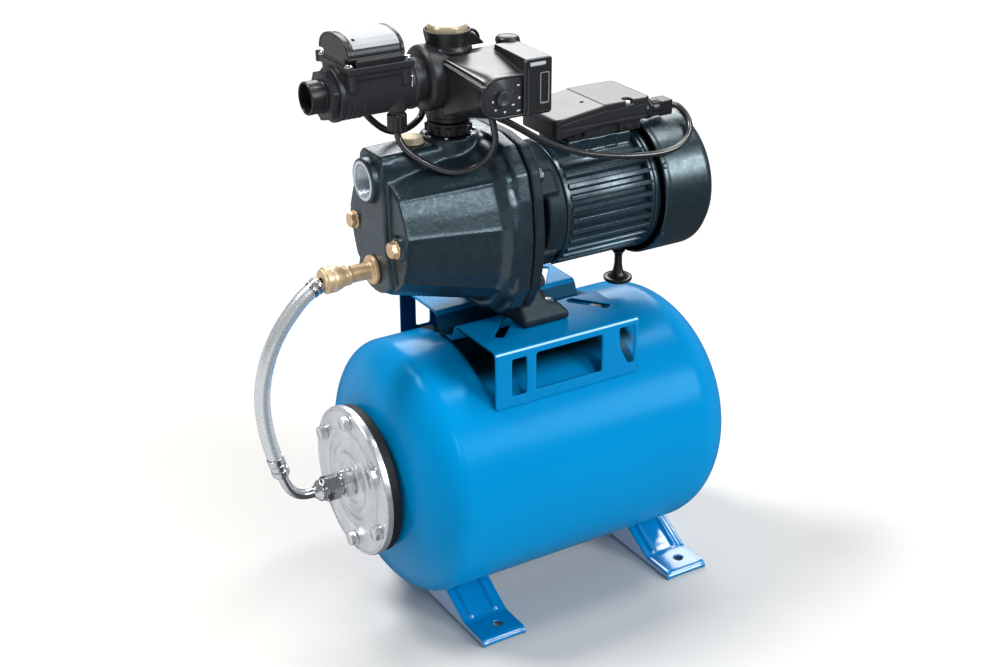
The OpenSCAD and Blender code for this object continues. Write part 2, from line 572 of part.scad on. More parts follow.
module motor_stand() {
  place() color(black) {
    difference() {
      zcyl(340, 357, 3.8, 95);
      xcyl(80, 110, 66.05, 0, axis_z);
    }
    translate([95, 0, 0]) rotate_extrude() polygon([[0, 312], [12.4, 312], [14.6, 313.2], [15.5, 315.4], [15.2, 317.2], [14.3, 317.6], [13.2, 316.6], [11.2, 317], [8.6, 318.8], [6.4, 322], [5, 326], [4.2, 332], [4, 340], [4.8, 343.4], [6.4, 345.4], [7, 347.1], [0, 347.1]]);
  }
}

// ---- terminal box ----
module terminal_box() {
  place() color(black) difference() {
    union() {
      yslab(-33, 33, [[-8, 493], [46, 500], [104, 498.5], [104, 515], [46, 515], [-8, 508]]);
      box(12, 84, -25, 25, 488, 502);
      box(70, 96, -29, 29, 488.2, 500);
    }
    yslab(-30.4, 30.4, [[-5.4, 496], [46, 503], [101.4, 501.5], [101.4, 530], [-5.4, 530]]);
    box(20, 76, -17, 17, 480, 505);
    xcyl(98, 110, 7.6, -22, 505);
  }
}
module terminal_lid() {
  place() color(black) difference() {
    yslab(-34, 34, [[-9, 508.1], [46, 515.1], [105, 515.1], [105, 520], [101, 521.5], [48, 521.5], [-9, 514.5]]);
    yslab(-30.4, 30.4, [[-5, 500], [101, 500], [101, 518.5], [46, 518.5], [-5, 512]]);
    zcyl(517, 530, 5, 78, -28.5);
    zcyl(505, 520, 2.2, 78, -28.5);
    for (y = [-28.5, 28.5], x = [6]) zcyl(500, 520, 2.2, x, y);
  }
}
module small_screws() {
  place() color(bright) {
    // terminal box lid
    zcyl(517, 519.6, 4.2, 78, -28.5);
    zcyl(516, 517, 2.1, 78, -28.5);
    // flow switch cover
    for (x = [-223.5, -165.5], s = [-1, 1]) zcyl(597.05, 600.6, 4.2, x, s * 26.6);
    // fan cover
    for (a = [30, 150, 210, 330]) translate([0, 0, axis_z]) rotate([a, 0, 0]) translate([102, cover_r, 0]) rotate([-90, 0, 0]) cylinder(r = 3.4, h = 2.2);
    // round the lock ring
    for (a = [195, 236, 300, 345]) translate([disc_x, 0, 0]) rotate([0, 0, a]) translate([25.1, 0, 512.05]) cylinder(r = 2.1, h = 2);
  }
}
module capacitor() { place() color([0.8, 0.8, 0.78]) { xcyl(26, 70, 13, 0, 499); xcyl(23, 26, 3, 0, 504); xcyl(23, 26, 3, 0, 494); } }
module cable_glands() {
  place() color(black) {
    // motor lead into the terminal box
    difference() {
      union() { xcyl(100, 104.2, 7.5, -22, 505); xcyl(104.05, 105.2, 9.6, -22, 505); xhex(105.1, 110, 20, -22, 505); xcyl(110, 119, 9, -22, 505); box(119, 134, -31, -13, 497, 513); }
      xcyl(90, 140, 3.6, -22, 505);
    }
    // sensor lead out of the flow switch
    difference() {
      union() { zcyl(527.6, 544, 8.6, -171, -14); for (a = [0:30:150]) translate([-171, -14, 0]) rotate([0, 0, a]) box(-9.3, 9.3, -1.3, 1.3, 529, 543); zcyl(544, 546.6, 7.4, -171, -14); zcyl(526.4, 527.6, 6, -171, -14); }
      zcyl(510, 550, 3.6, -171, -14);
      xcyl(-240, -140, 24.4, 0, 567);
    }
  }
}

// ---- control ----
module lock_ring() {
  place() color(black) difference() {
    union() {
      zcyl(512, 524, 20.2, disc_x);
      for (a = [0:30:330]) translate([disc_x, 0, 0]) rotate([0, 0, a]) box(18, 22.8, -2.6, 2.6, 513.5, 521);
    }
    zcyl(500, 530, 15.2, disc_x);
  }
}
module controller_body() {
  place() color(black) difference() {
    union() {
      zcyl(530, 594, 22.3, disc_x);
      zcyl(526, 530, 21, disc_x);
      zcyl(524, 526, 17.6, disc_x);
      // cupped collar round the top plug
      translate([disc_x, 0, 0]) rotate_extrude() polygon([[17.5, 594], [20, 594], [20.4, 596.5], [21.3, 600], [22, 604], [22.3, 608], [22.3, 611.2], [21, 611.2], [20.4, 610], [17.5, 598]]);
      // drum that joins the flow switch
      xcyl(-137, -114, 31, 0, 568);
      xcone(-141, -137, 28, 31, 0, 568);
      xcyl(-150, -141, 21, 0, 568);
    }
    zcyl(520, 536, 10.5, disc_x);        // passage of the valve seat
    zcyl(534, 557, 14.8, disc_x);
    zcyl(556, 601, 16.8, disc_x);
    zcyl(600, 608.02, 18.8, disc_x);
    zcyl(608, 614, 19.7, disc_x);
    xcyl(-160, -110, 15, 0, 568);
  }
  // bridge that guides the valve's stem
  place() color(black) difference() {
    box(disc_x - 4.5, disc_x + 4.5, -17.6, 17.6, 556, 559);
    zcyl(550, 565, 3.05, disc_x);
  }
}
module top_plug() {
  place() color(brass) {
    zcyl(600.1, 608, 18.7, disc_x);
    // hexagon with its corners turned off at the top
    intersection() {
      zhex(608, 616.3, top_plug_af, disc_x, 0, 28.5);
      union() { zcyl(607, 613.8, 20, disc_x); translate([disc_x, 0, 613.8]) cylinder(r1 = 19.4, r2 = 16.4, h = 2.6); }
    }
  }
}
head_back = [[-128, 537], [-48, 535], [-48, 594], [-127, 591]];
module control_head() {
  place() color(black) difference() {
    union() {
      // body that widens from the controller to the rounded panel
      hull() {
        yslab(-26, -24, head_back);
        ycyl(head_y, head_y + 2, bezel_r, bezel_x, bezel_z);
        box(-76, -50, head_y, head_y + 2, 543.6, 583.2);
      }
      // prouder block on the right
      hull() {
        box(-74, -48, -28, -26, 538, 597.5);
        box(-75, -46.5, head_y - 3, head_y - 1, 545, 594.5);
        box(-75, -48.5, head_y - 3, head_y - 1, 543, 596);
      }
      box(-120, -52, -26, -8, 537, 591);
      // round housing behind the block
      zcyl(545, 595, 11.6, -50.6, -13);
      zcyl(595, 597.8, 9.6, -50.6, -13);
    }
    zcyl(500, 640, 22.3, disc_x);
    xcyl(-142, -113, 31, 0, 568);
    // hollow
    hull() {
      yslab(-30, -29, [[-112, 537], [-56, 537], [-56, 586], [-112, 586]]);
      ycyl(head_y + 1.5, head_y + 2.5, 15.5, bezel_x, bezel_z);
      box(-76, -56, head_y + 1.5, head_y + 2.5, 548, 579);
    }
    // seat of the panel face and the button's guide
    ycyl(head_y - 1, head_y + 1.2, bezel_r - 2, bezel_x, bezel_z);
    box(bezel_x, -76.4, head_y - 1, head_y + 1.2, bezel_z - bezel_r + 2, bezel_z + bezel_r - 2);
    ycyl(head_y - 5, head_y + 5, 5.6, button_x, bezel_z);
    // recess of the bare name place
    box(-59, -50.5, head_y - 5, head_y - 2.2, 552, 582);
    // lead passages in the underside
    zcyl(520, 548, 3.6, -97, -59);
    zcyl(520, 548, 3.6, -94, -68);
  }
}
module panel_face() {
  place() color([0.2, 0.2, 0.21]) difference() {
    union() {
      ycyl(head_y - 0.4, head_y + 1.1, bezel_r - 2.1, bezel_x, bezel_z);
      box(bezel_x, -76.5, head_y - 0.4, head_y + 1.1, bezel_z - bezel_r + 2.1, bezel_z + bezel_r - 2.1);
    }
    ycyl(head_y - 5, head_y + 5, 5.6, button_x, bezel_z);
  }
}
module panel_button() {
  place() color([0.25, 0.25, 0.26]) {
    ycyl(head_y - 2, head_y + 3.2, 5.25, button_x, bezel_z);
    ycyl(head_y + 3.2, head_y + 4.4, 7.2, button_x, bezel_z);
  }
}
module circuit_board() {
  place() color([0.1, 0.4, 0.2]) box(-106, -60, head_y + 8.4, head_y + 10, 551, 576);
}
module check_valve() {
  place() color([0.85, 0.84, 0.8]) {
    zcyl(534.05, 537.4, 13.6, disc_x);
    zcyl(537.4, 539, 5, disc_x);
    zcyl(539, 561.5, 3, disc_x);
  }
}
module valve_spring() {
  place() color(bright) translate([disc_x, 0, 0])
    sweep([for (i = [0:60]) let (a = i * 30) [6.4 * cos(a), 6.4 * sin(a), 538.2 + 17 * i / 60]], 0.7, 6, [0, 0, 1]);
}

// ---- flow switch ----
// outline of the switch cover across the pipe
arch = [[0, 621.8], [11, 620.8], [18, 618.7], [23.8, 615.2], [27.8, 610.6], [29.4, 605.6], [29.6, 599]];
module flow_body() {
  place() color(black) difference() {
    union() {
      xcyl(-226, -150.05, 24.3, 0, 567);
      xcyl(-232, -226, 25.6, 0, 567);
      box(-224.5, -161, -24.3, 24.3, 567, 591);
      box(-226, -160, -31, 32.5, 589.5, 597);
      xcyl(-237.4, -232, 19.8, 0, 567);
      for (x = [-220, -166], s = [-1, 1]) zcyl(570, 591, 4.4, x, s * 25);
      zcyl(546.6, 575, 9.5, -171, -14);
      zcyl(541, 560, 6, -188, 20);
      // clip on the far side
      box(-227.5, -222, 31, 35, 589, 600);
    }
    xcyl(-240, -150, outlet_r, 0, 567);
    zcyl(530, 560, 3.6, -171, -14);
    zcyl(530, 552, 3.6, -188, 20);
    box(-218, -168, -20, 20, 586, 600);
  }
}
module flow_cover() {
  place() color(black) difference() {
    xslab(-226, -169, mirrored(concat(arch, [[29.6, 597.1], [0, 597.1]])));
    xslab(-223.5, -171.5, mirrored([[0, 619.2], [10.5, 618.4], [17, 616.6], [22, 613.5], [25.4, 609.4], [26.9, 605], [27, 596], [0, 596]]));
    // corners round the screws
    for (x = [-223.5, -165.5]) for (s = [-1, 1]) zcyl(596, 603.5, 4.6, x, s * 26.6);
  }
}
module label_plate() {
  place() color(bright) difference() {
    xslab(-219, -173, [[11, 621.4], [11, 620.85], [0, 621.85], [-11, 620.85], [-18, 618.75], [-23.8, 615.25], [-26.4, 612.3], [-26.8, 612.7], [-24.2, 615.8], [-18.2, 619.3], [-11.1, 621.4], [0, 622.4]]);
    zcyl(600, 640, 1.6, -215, -18.5);
  }
}
module union_nut() {
  place() color(black) difference() {
    union() { xhex(-239.8, -232.3, 44, 0, 567, 14); xcyl(-240.8, -239.8, 20.5, 0, 567); }
    xcyl(-238.9, -230, 19.87, 0, 567);
    xcyl(-244, -238, 15.65, 0, 567);
  }
}
module outlet_spigot() {
  place() color(black) difference() {
    union() { xcyl(-255.5, -241.2, 15.3, 0, 567); xcyl(-241.3, -238.6, 15, 0, 567); xcyl(-238.8, -237.4, 19.7, 0, 567); }
    xcyl(-260, -230, outlet_r, 0, 567);
  }
}
module sensor_lead() { place() color(black) sweep(smooth(sensor_route, 1), 3.25, 8, [0, 1, 0]); }
module motor_lead() { place() color(black) sweep(smooth(motor_route, 1), 3.25, 8, [0, 1, 0]); }
module rear_lead() { place() color(black) sweep(smooth(rear_route, 1), 3.25, 8, [0, 1, 0]); }

tank_shell();
tank_bladder();
front_foot();
rear_foot();
carrier_plate();
tank_flange();
flange_bolts();
air_valve();
air_valve_cap();
flange_nipple();
swivel_nut();
hose_elbow();
hose_ferrules();
braided_hose();
brass_elbow_nut();
brass_adapter();
pump_casing();
casing_seal();
casing_bolts();
gauge_plugs();
priming_plug();
motor_bracket();
pedestal_bolts();
impeller();
diffuser();
ejector();
seal_seat();
seal_head();
motor_shaft();
rotor_core();
stator();
front_bearing();
rear_bearing();
motor_housing();
rear_shield();
cooling_fan();
fan_cover();
motor_stand();
terminal_box();
terminal_lid();
small_screws();
capacitor();
cable_glands();
lock_ring();
controller_body();
top_plug();
control_head();
panel_face();
panel_button();
circuit_board();
check_valve();
valve_spring();
flow_body();
flow_cover();
label_plate();
union_nut();
outlet_spigot();
sensor_lead();
motor_lead();
rear_lead();
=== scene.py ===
"""Booster pump set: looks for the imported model. All lengths in the helpers are
millimetres from the middle of the feet; P() turns them into the row frame."""
import json
import math
import bpy
import bmesh
import numpy as np
from mathutils import Vector, Matrix


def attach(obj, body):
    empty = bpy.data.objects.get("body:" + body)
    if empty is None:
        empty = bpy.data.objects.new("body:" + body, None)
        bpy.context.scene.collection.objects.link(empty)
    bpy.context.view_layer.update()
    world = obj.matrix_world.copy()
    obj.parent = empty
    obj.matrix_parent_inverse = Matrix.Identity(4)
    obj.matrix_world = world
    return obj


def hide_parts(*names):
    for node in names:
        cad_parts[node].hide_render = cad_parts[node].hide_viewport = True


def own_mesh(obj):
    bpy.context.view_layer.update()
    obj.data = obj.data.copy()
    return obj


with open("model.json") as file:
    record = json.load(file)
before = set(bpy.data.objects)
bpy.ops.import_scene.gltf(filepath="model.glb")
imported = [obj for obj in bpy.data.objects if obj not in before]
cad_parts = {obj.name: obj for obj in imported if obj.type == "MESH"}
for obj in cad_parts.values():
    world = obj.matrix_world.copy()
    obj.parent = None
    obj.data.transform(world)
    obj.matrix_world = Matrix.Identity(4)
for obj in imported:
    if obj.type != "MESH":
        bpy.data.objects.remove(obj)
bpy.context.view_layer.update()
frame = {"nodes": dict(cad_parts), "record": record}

OX = -4.5


def P(x, y, z):
    return ((x + OX) / 1000.0, y / 1000.0, z / 1000.0)


# ---------------------------------------------------------------- camera
scene = bpy.context.scene
cam_data = bpy.data.cameras.new("Camera")
cam_data.lens = 57.44
cam_data.sensor_width = 36.0
cam_data.clip_start = 0.05
cam_data.clip_end = 30.0
cam = bpy.data.objects.new("Camera", cam_data)
scene.collection.objects.link(cam)
cam_at = Vector((-0.8298, -1.2641, 0.9861))
cam_to = Vector((-0.05607, 0.0, 0.28516))
cam.location = cam_at
cam.rotation_euler = (cam_to - cam_at).to_track_quat("-Z", "Y").to_euler()
scene.camera = cam
scene.view_settings.view_transform = "Standard"
scene.view_settings.look = "None"


# ---------------------------------------------------------------- materials
MATS = {}


def nodes_of(m):
    t = m.node_tree
    return t, t.nodes, t.links, t.nodes["Principled BSDF"]


def material(name, base, rough, metal=0.0, vary=0.06, vary_scale=60.0, rough_vary=0.08,
             rough_scale=140.0, bump=0.15, bump_scale=900.0, bump_dist=0.0002, coat=0.0, coat_rough=0.05,
             spec=0.5, aniso=0.0, detail=3.0, stretch=None, dark=None, sheen=0.0, second=None, tint=(1, 1, 1)):
    """A Principled material whose colour, roughness and bump come from noise in
    object space. stretch scales the noise along x, y and z, for brushed or
    turned faces. second is a wider, softer bump (scale, strength, metres)."""
    m = bpy.data.materials.new(name)
    m.use_nodes = True
    t, n, l, b = nodes_of(m)
    b.inputs["Metallic"].default_value = metal
    b.inputs["Specular IOR Level"].default_value = spec
    b.inputs["Specular Tint"].default_value = (*tint, 1)
    b.inputs["Coat Weight"].default_value = coat
    b.inputs["Coat Roughness"].default_value = coat_rough
    b.inputs["Anisotropic"].default_value = aniso
    b.inputs["Sheen Weight"].default_value = sheen
    tc = n.new("ShaderNodeTexCoord")
    src = tc.outputs["Object"]
    if stretch:
        mp = n.new("ShaderNodeMapping")
        mp.inputs["Scale"].default_value = stretch
        l.new(src, mp.inputs["Vector"])
        src = mp.outputs["Vector"]
    # colour
    no = n.new("ShaderNodeTexNoise")
    no.inputs["Scale"].default_value = vary_scale
    no.inputs["Detail"].default_value = detail
    no.inputs["Roughness"].default_value = 0.6
    l.new(tc.outputs["Object"], no.inputs["Vector"])
    ramp = n.new("ShaderNodeValToRGB")
    ramp.color_ramp.elements[0].position = 0.32
    ramp.color_ramp.elements[1].position = 0.68
    lo = dark if dark else [c * (1 - vary) for c in base]
    hi = [min(1.0, c * (1 + vary)) for c in base]
    ramp.color_ramp.elements[0].color = (*lo, 1)
    ramp.color_ramp.elements[1].color = (*hi, 1)
    l.new(no.outputs["Fac"], ramp.inputs["Fac"])
    l.new(ramp.outputs["Color"], b.inputs["Base Color"])
    # roughness
    nr = n.new("ShaderNodeTexNoise")
    nr.inputs["Scale"].default_value = rough_scale
    nr.inputs["Detail"].default_value = 4.0
    l.new(src, nr.inputs["Vector"])
    mr = n.new("ShaderNodeMapRange")
    mr.inputs["From Min"].default_value = 0.3
    mr.inputs["From Max"].default_value = 0.7
    mr.inputs["To Min"].default_value = max(0.02, rough - rough_vary)
    mr.inputs["To Max"].default_value = min(1.0, rough + rough_vary)
    l.new(nr.outputs["Fac"], mr.inputs["Value"])
    l.new(mr.outputs["Result"], b.inputs["Roughness"])
    # bump
    nb = n.new("ShaderNodeTexNoise")
    nb.inputs["Scale"].default_value = bump_scale
    nb.inputs["Detail"].default_value = 3.0
    l.new(src, nb.inputs["Vector"])
    bp = n.new("ShaderNodeBump")
    bp.inputs["Strength"].default_value = bump
    bp.inputs["Distance"].default_value = bump_dist
    l.new(nb.outputs["Fac"], bp.inputs["Height"])
    last = bp
    if second:
        n2 = n.new("ShaderNodeTexNoise")
        n2.inputs["Scale"].default_value = second[0]
        n2.inputs["Detail"].default_value = 2.0
        l.new(tc.outputs["Object"], n2.inputs["Vector"])
        b2 = n.new("ShaderNodeBump")
        b2.inputs["Strength"].default_value = second[1]
        b2.inputs["Distance"].default_value = second[2]
        l.new(n2.outputs["Fac"], b2.inputs["Height"])
        l.new(b2.outputs["Normal"], bp.inputs["Normal"])
    l.new(last.outputs["Normal"], b.inputs["Normal"])
    MATS[name] = m
    return m


def lin(r, g, b):
    """sRGB 0-255 to linear"""
    return tuple(((c / 255.0) / 12.92 if c / 255.0 <= 0.04045 else ((c / 255.0 + 0.055) / 1.055) ** 2.4) for c in (r, g, b))


material("blue_paint", lin(0, 146, 220), 0.30, vary=0.02, vary_scale=14, rough_vary=0.03, rough_scale=60, bump=0.06,
         bump_scale=260, bump_dist=0.0003, coat=0.55, coat_rough=0.04, second=(28.0, 0.05, 0.002))
material("tank_paint", lin(0, 134, 196), 0.22, vary=0.015, vary_scale=10, rough_vary=0.02, rough_scale=60, bump=0.04,
         bump_scale=220, bump_dist=0.0003, spec=0.13, second=(24.0, 0.05, 0.002), tint=(0.22, 0.72, 1.0))
material("foot_paint", lin(0, 130, 194), 0.13, vary=0.02, vary_scale=14, rough_vary=0.03, rough_scale=60, bump=0.05,
         bump_scale=240, bump_dist=0.0003, spec=1.0, second=(40.0, 0.08, 0.0015))
material("plate_paint", lin(0, 126, 187), 0.34, vary=0.02, vary_scale=14, rough_vary=0.03, rough_scale=60, bump=0.05,
         bump_scale=240, bump_dist=0.0003, spec=0.10, tint=(0.3, 0.75, 1.0))
material("chrome_dark", lin(170, 172, 174), 0.16, metal=1.0, vary=0.05, vary_scale=100, rough_vary=0.05, rough_scale=260,
         bump=0.05, bump_scale=500, bump_dist=0.0001)
material("head_plastic", lin(30, 31, 33), 0.31, vary=0.04, vary_scale=80, rough_vary=0.012, rough_scale=120, bump=0.06,
         bump_scale=1500, bump_dist=0.00005, spec=0.76)
material("lid_plastic", lin(34, 35, 37), 0.36, vary=0.03, vary_scale=60, rough_vary=0.012, rough_scale=90, bump=0.05,
         bump_scale=1300, bump_dist=0.00005, spec=0.6)
material("brass_pale", lin(204, 190, 160), 0.5, metal=0.35, vary=0.05, vary_scale=120, rough_vary=0.05, rough_scale=500, bump=0.1,
         bump_scale=900, bump_dist=0.0001, spec=0.35)
material("zinc_dark", lin(70, 76, 82), 0.34, metal=0.7, vary=0.05, vary_scale=200, rough_vary=0.06, rough_scale=400,
         bump=0.12, bump_scale=1200, bump_dist=0.00008)
# painted shade: a near-black paint for the insides of holes, slots and gaps
material("painted_hole_shade", lin(6, 7, 8), 0.9, vary=0.02, vary_scale=200, bump=0.02, bump_scale=900, bump_dist=0.00005, spec=0.05)
# painted highlight: a lighter grey for the thin frame round the name place
material("frame_painted_highlight", lin(128, 131, 134), 0.34, vary=0.04, vary_scale=200, bump=0.08, bump_scale=1500, bump_dist=0.00005)
# painted highlight: a pale finish for the bar at the head block's top edge
material("bar_painted_highlight", lin(214, 217, 220), 0.22, metal=0.35, vary=0.03, vary_scale=200, bump=0.05, bump_scale=1500, bump_dist=0.00005)
material("mark_pale", lin(205, 208, 210), 0.40, vary=0.04, vary_scale=300, bump=0.05, bump_scale=1500, bump_dist=0.00004)
material("mark_dim", lin(92, 94, 96), 0.40, vary=0.04, vary_scale=300, bump=0.05, bump_scale=1500, bump_dist=0.00004)
material("slate_paint", lin(40, 55, 65), 0.36, vary=0.10, vary_scale=90, rough_vary=0.07, rough_scale=220, bump=0.30,
         bump_scale=850, bump_dist=0.00022, coat=0.10, coat_rough=0.25, second=(170.0, 0.30, 0.0006))
material("slate_cast", lin(23, 38, 47), 0.33, vary=0.10, vary_scale=90, rough_vary=0.07, rough_scale=220, bump=0.34,
         bump_scale=620, bump_dist=0.0003, spec=0.85, second=(150.0, 0.35, 0.0008), tint=(0.76, 0.93, 1.0))
material("slate_fin", lin(34, 51, 61), 0.30, vary=0.06, vary_scale=70, rough_vary=0.06, rough_scale=160, bump=0.16,
         bump_scale=600, bump_dist=0.0002, spec=1.0, second=(120.0, 0.12, 0.0006), tint=(0.80, 0.94, 1.0))
material("slate_satin", lin(21, 35, 43), 0.30, vary=0.06, vary_scale=70, rough_vary=0.06, rough_scale=160, bump=0.16,
         bump_scale=600, bump_dist=0.0002, spec=0.95, second=(120.0, 0.12, 0.0006), tint=(0.76, 0.93, 1.0))
material("slate_dull", lin(24, 36, 44), 0.48, vary=0.08, vary_scale=90, rough_vary=0.05, rough_scale=220, bump=0.25,
         bump_scale=620, bump_dist=0.0003, spec=0.30, second=(150.0, 0.3, 0.0008), tint=(0.8, 0.94, 1.0))
material("braid", lin(224, 228, 230), 0.26, metal=0.72, vary=0.10, vary_scale=700, rough_vary=0.08, rough_scale=900, bump=0.25,
         bump_scale=2600, bump_dist=0.0001)
material("slate_smooth", lin(38, 54, 64), 0.30, vary=0.05, vary_scale=60, rough_vary=0.05, rough_scale=150, bump=0.12,
         bump_scale=700, bump_dist=0.00015, coat=0.15, coat_rough=0.18)
material("black_plastic", lin(34, 35, 38), 0.42, vary=0.06, vary_scale=80, rough_vary=0.06, rough_scale=300, bump=0.25,
         bump_scale=1900, bump_dist=0.00008, spec=0.5)
material("black_gloss", lin(29, 30, 32), 0.30, vary=0.05, vary_scale=50, rough_vary=0.05, rough_scale=200, bump=0.10,
         bump_scale=1500, bump_dist=0.00006, spec=0.42)
material("rubber", lin(13, 13, 14), 0.62, vary=0.08, vary_scale=120, rough_vary=0.06, bump=0.3, bump_scale=1400,
         bump_dist=0.0001)
material("cable", lin(30, 31, 32), 0.25, spec=0.9, vary=0.05, vary_scale=150, rough_vary=0.05, bump=0.12, bump_scale=1600,
         bump_dist=0.00006)
material("brass", lin(230, 202, 164), 0.40, metal=0.6, vary=0.05, vary_scale=120, rough_vary=0.07, rough_scale=500, bump=0.14,
         bump_scale=900, bump_dist=0.0001, dark=lin(214, 182, 142))
material("brass_dark", lin(178, 140, 92), 0.34, metal=1.0, vary=0.08, vary_scale=160, rough_vary=0.08, bump=0.2,
         bump_scale=900, bump_dist=0.0001)
material("galvanised", lin(222, 224, 227), 0.30, metal=0.78, vary=0.05, vary_scale=45, rough_vary=0.09, rough_scale=90,
         bump=0.10, bump_scale=420, bump_dist=0.00025, dark=lin(206, 208, 210))
material("zinc", lin(220, 222, 224), 0.28, metal=0.85, vary=0.05, vary_scale=200, rough_vary=0.08, rough_scale=400,
         bump=0.12, bump_scale=1200, bump_dist=0.00008)
material("chrome", lin(214, 216, 218), 0.14, metal=1.0, vary=0.03, vary_scale=100, rough_vary=0.05, rough_scale=260,
         bump=0.05, bump_scale=500, bump_dist=0.0001)
material("machined", lin(214, 222, 230), 0.28, metal=1.0, vary=0.04, vary_scale=300, rough_vary=0.08, rough_scale=700,
         bump=0.2, bump_scale=900, bump_dist=0.0001)
material("steel", lin(178, 180, 184), 0.30, metal=1.0, vary=0.05, vary_scale=200, rough_vary=0.08, bump=0.12,
         bump_scale=900, bump_dist=0.0001, stretch=(0.1, 1, 1))
material("laminations", lin(120, 122, 126), 0.45, metal=0.9, vary=0.1, vary_scale=300, bump=0.5, bump_scale=1600,
         bump_dist=0.0002, stretch=(8, 0.3, 0.3))
material("copper_coils", lin(150, 78, 44), 0.38, metal=0.5, vary=0.2, vary_scale=400, bump=0.6, bump_scale=1200,
         bump_dist=0.0004, stretch=(1, 6, 6))
material("pale_plastic", lin(214, 212, 204), 0.45, vary=0.03, vary_scale=100, bump=0.1, bump_scale=1200, bump_dist=0.00008)
material("ceramic", lin(226, 222, 212), 0.22, vary=0.03, vary_scale=100, bump=0.05, bump_scale=1200, bump_dist=0.00005)
material("graphite", lin(34, 34, 36), 0.5, vary=0.08, vary_scale=200, bump=0.1, bump_scale=1400, bump_dist=0.00006)
material("board", lin(22, 92, 52), 0.35, vary=0.1, vary_scale=300, bump=0.3, bump_scale=700, bump_dist=0.0002)
material("panel", lin(44, 45, 48), 0.30, vary=0.05, vary_scale=100, bump=0.08, bump_scale=1200, bump_dist=0.00005)
material("button", lin(52, 53, 56), 0.38, vary=0.05, vary_scale=160, bump=0.12, bump_scale=1500, bump_dist=0.00006)
material("label", lin(176, 178, 181), 0.5, metal=0.0, spec=0.25, vary=0.04, vary_scale=40, rough_vary=0.06, rough_scale=300,
         bump=0.10, bump_scale=900, bump_dist=0.00006, stretch=(0.12, 1, 1))
material("floor", lin(206, 203, 199), 0.85, vary=0.004, vary_scale=2, rough_vary=0.03, bump=0.02, bump_scale=40,
         bump_dist=0.0003, spec=0.2)

SLOT_MAT = {s: s for s in ("blue_paint", "rubber", "galvanised", "zinc", "chrome", "brass", "slate_paint",
                           "black_plastic", "ceramic", "graphite", "steel", "laminations", "copper_coils",
                           "pale_plastic", "panel", "button", "board", "label", "cable", "braid")}
record = frame["record"]
node_slot = {s["node"]: s["material_slot"] for s in record["subparts"]}


def dress(ob, mat):
    ob.data.materials.clear()
    ob.data.materials.append(MATS[mat])


for node, ob in frame["nodes"].items():
    for i in range(max(1, len(ob.material_slots))):
        m = MATS[SLOT_MAT[node_slot[node]]]
        if len(ob.material_slots) == 0:
            ob.data.materials.append(m)
        else:
            ob.material_slots[i].material = m



def painted_shade_or_highlight(name, source, dark, spans):
    """a copy of a paint that turns to the colour dark where every span, (axis, edge, inner) in metres, is passed:
    painted shade, or a painted highlight where that colour is light
    """
    m = MATS[source].copy()
    m.name = name
    t, n, l, b = nodes_of(m)
    tc = n.new("ShaderNodeTexCoord")
    sx = n.new("ShaderNodeSeparateXYZ")
    l.new(tc.outputs["Object"], sx.inputs["Vector"])
    ab = n.new("ShaderNodeMath")
    ab.operation = "ABSOLUTE"
    l.new(sx.outputs["Y"], ab.inputs[0])
    out = {"x": sx.outputs["X"], "y": sx.outputs["Y"], "z": sx.outputs["Z"], "w": ab.outputs["Value"]}
    last = None
    for ax, a, c in spans:
        mr = n.new("ShaderNodeMapRange")
        mr.interpolation_type = "SMOOTHSTEP"
        mr.inputs["From Min"].default_value = a
        mr.inputs["From Max"].default_value = c
        l.new(out[ax], mr.inputs["Value"])
        if last is None:
            last = mr.outputs["Result"]
        else:
            mu = n.new("ShaderNodeMath")
            mu.operation = "MULTIPLY"
            l.new(last, mu.inputs[0])
            l.new(mr.outputs["Result"], mu.inputs[1])
            last = mu.outputs["Value"]
    mx = n.new("ShaderNodeMix")
    mx.data_type = "RGBA"
    src = b.inputs["Base Color"].links[0].from_socket
    l.new(last, mx.inputs["Factor"])
    l.new(src, mx.inputs["A"])
    mx.inputs["B"].default_value = (*dark, 1)
    l.new(mx.outputs["Result"], b.inputs["Base Color"])
    MATS[name] = m
    return m


# painted shade: the tank's paint is darkened where the carrier plate covers it, standing in for the shade under the
# plate
painted_shade_or_highlight("tank_painted_plate_shade", "tank_paint", lin(4, 26, 38), [("z", 0.2680, 0.2835), ("w", 0.0955, 0.0900), ("x", -0.1245, -0.1195), ("x", 0.0680, 0.0590)])
# painted highlight: a pale strip painted along the bend of the carrier plate's pressed edge, standing in for the light
# it catches
painted_shade_or_highlight("plate_painted_edge_highlight", "plate_paint", lin(186, 228, 250), [("z", 0.3146, 0.3154), ("w", 0.0962, 0.0968), ("z", 0.3173, 0.3168)])
# painted shade: below its top face, between the saddle and the skirt, the plate is painted dark so the walls of its
# slots read as shaded; this copy keeps the painted edge highlight
painted_shade_or_highlight("plate_painted_edge_highlight_and_slot_shade", "plate_painted_edge_highlight", lin(3, 18, 27), [("z", 0.3173, 0.3167), ("w", 0.0225, 0.0245), ("w", 0.0942, 0.0930)])
# painted shade: a further dark patch on the tank where it is seen through the plate's right window, on top of the
# painted shade under the plate
painted_shade_or_highlight("tank_painted_plate_and_window_shade", "tank_painted_plate_shade", lin(2, 64, 96), [("z", 0.2540, 0.2615), ("w", 0.0958, 0.0930), ("x", 0.0220, 0.0300), ("x", 0.0540, 0.0500)])
# painted shade: the inner face of the far skirt is painted dark
painted_shade_or_highlight("plate_far_painted_shade", "plate_paint", lin(6, 62, 92), [("z", 0.3150, 0.3130), ("y", 0.0972, 0.0958)])

# ---------------------------------------------------------------- fields


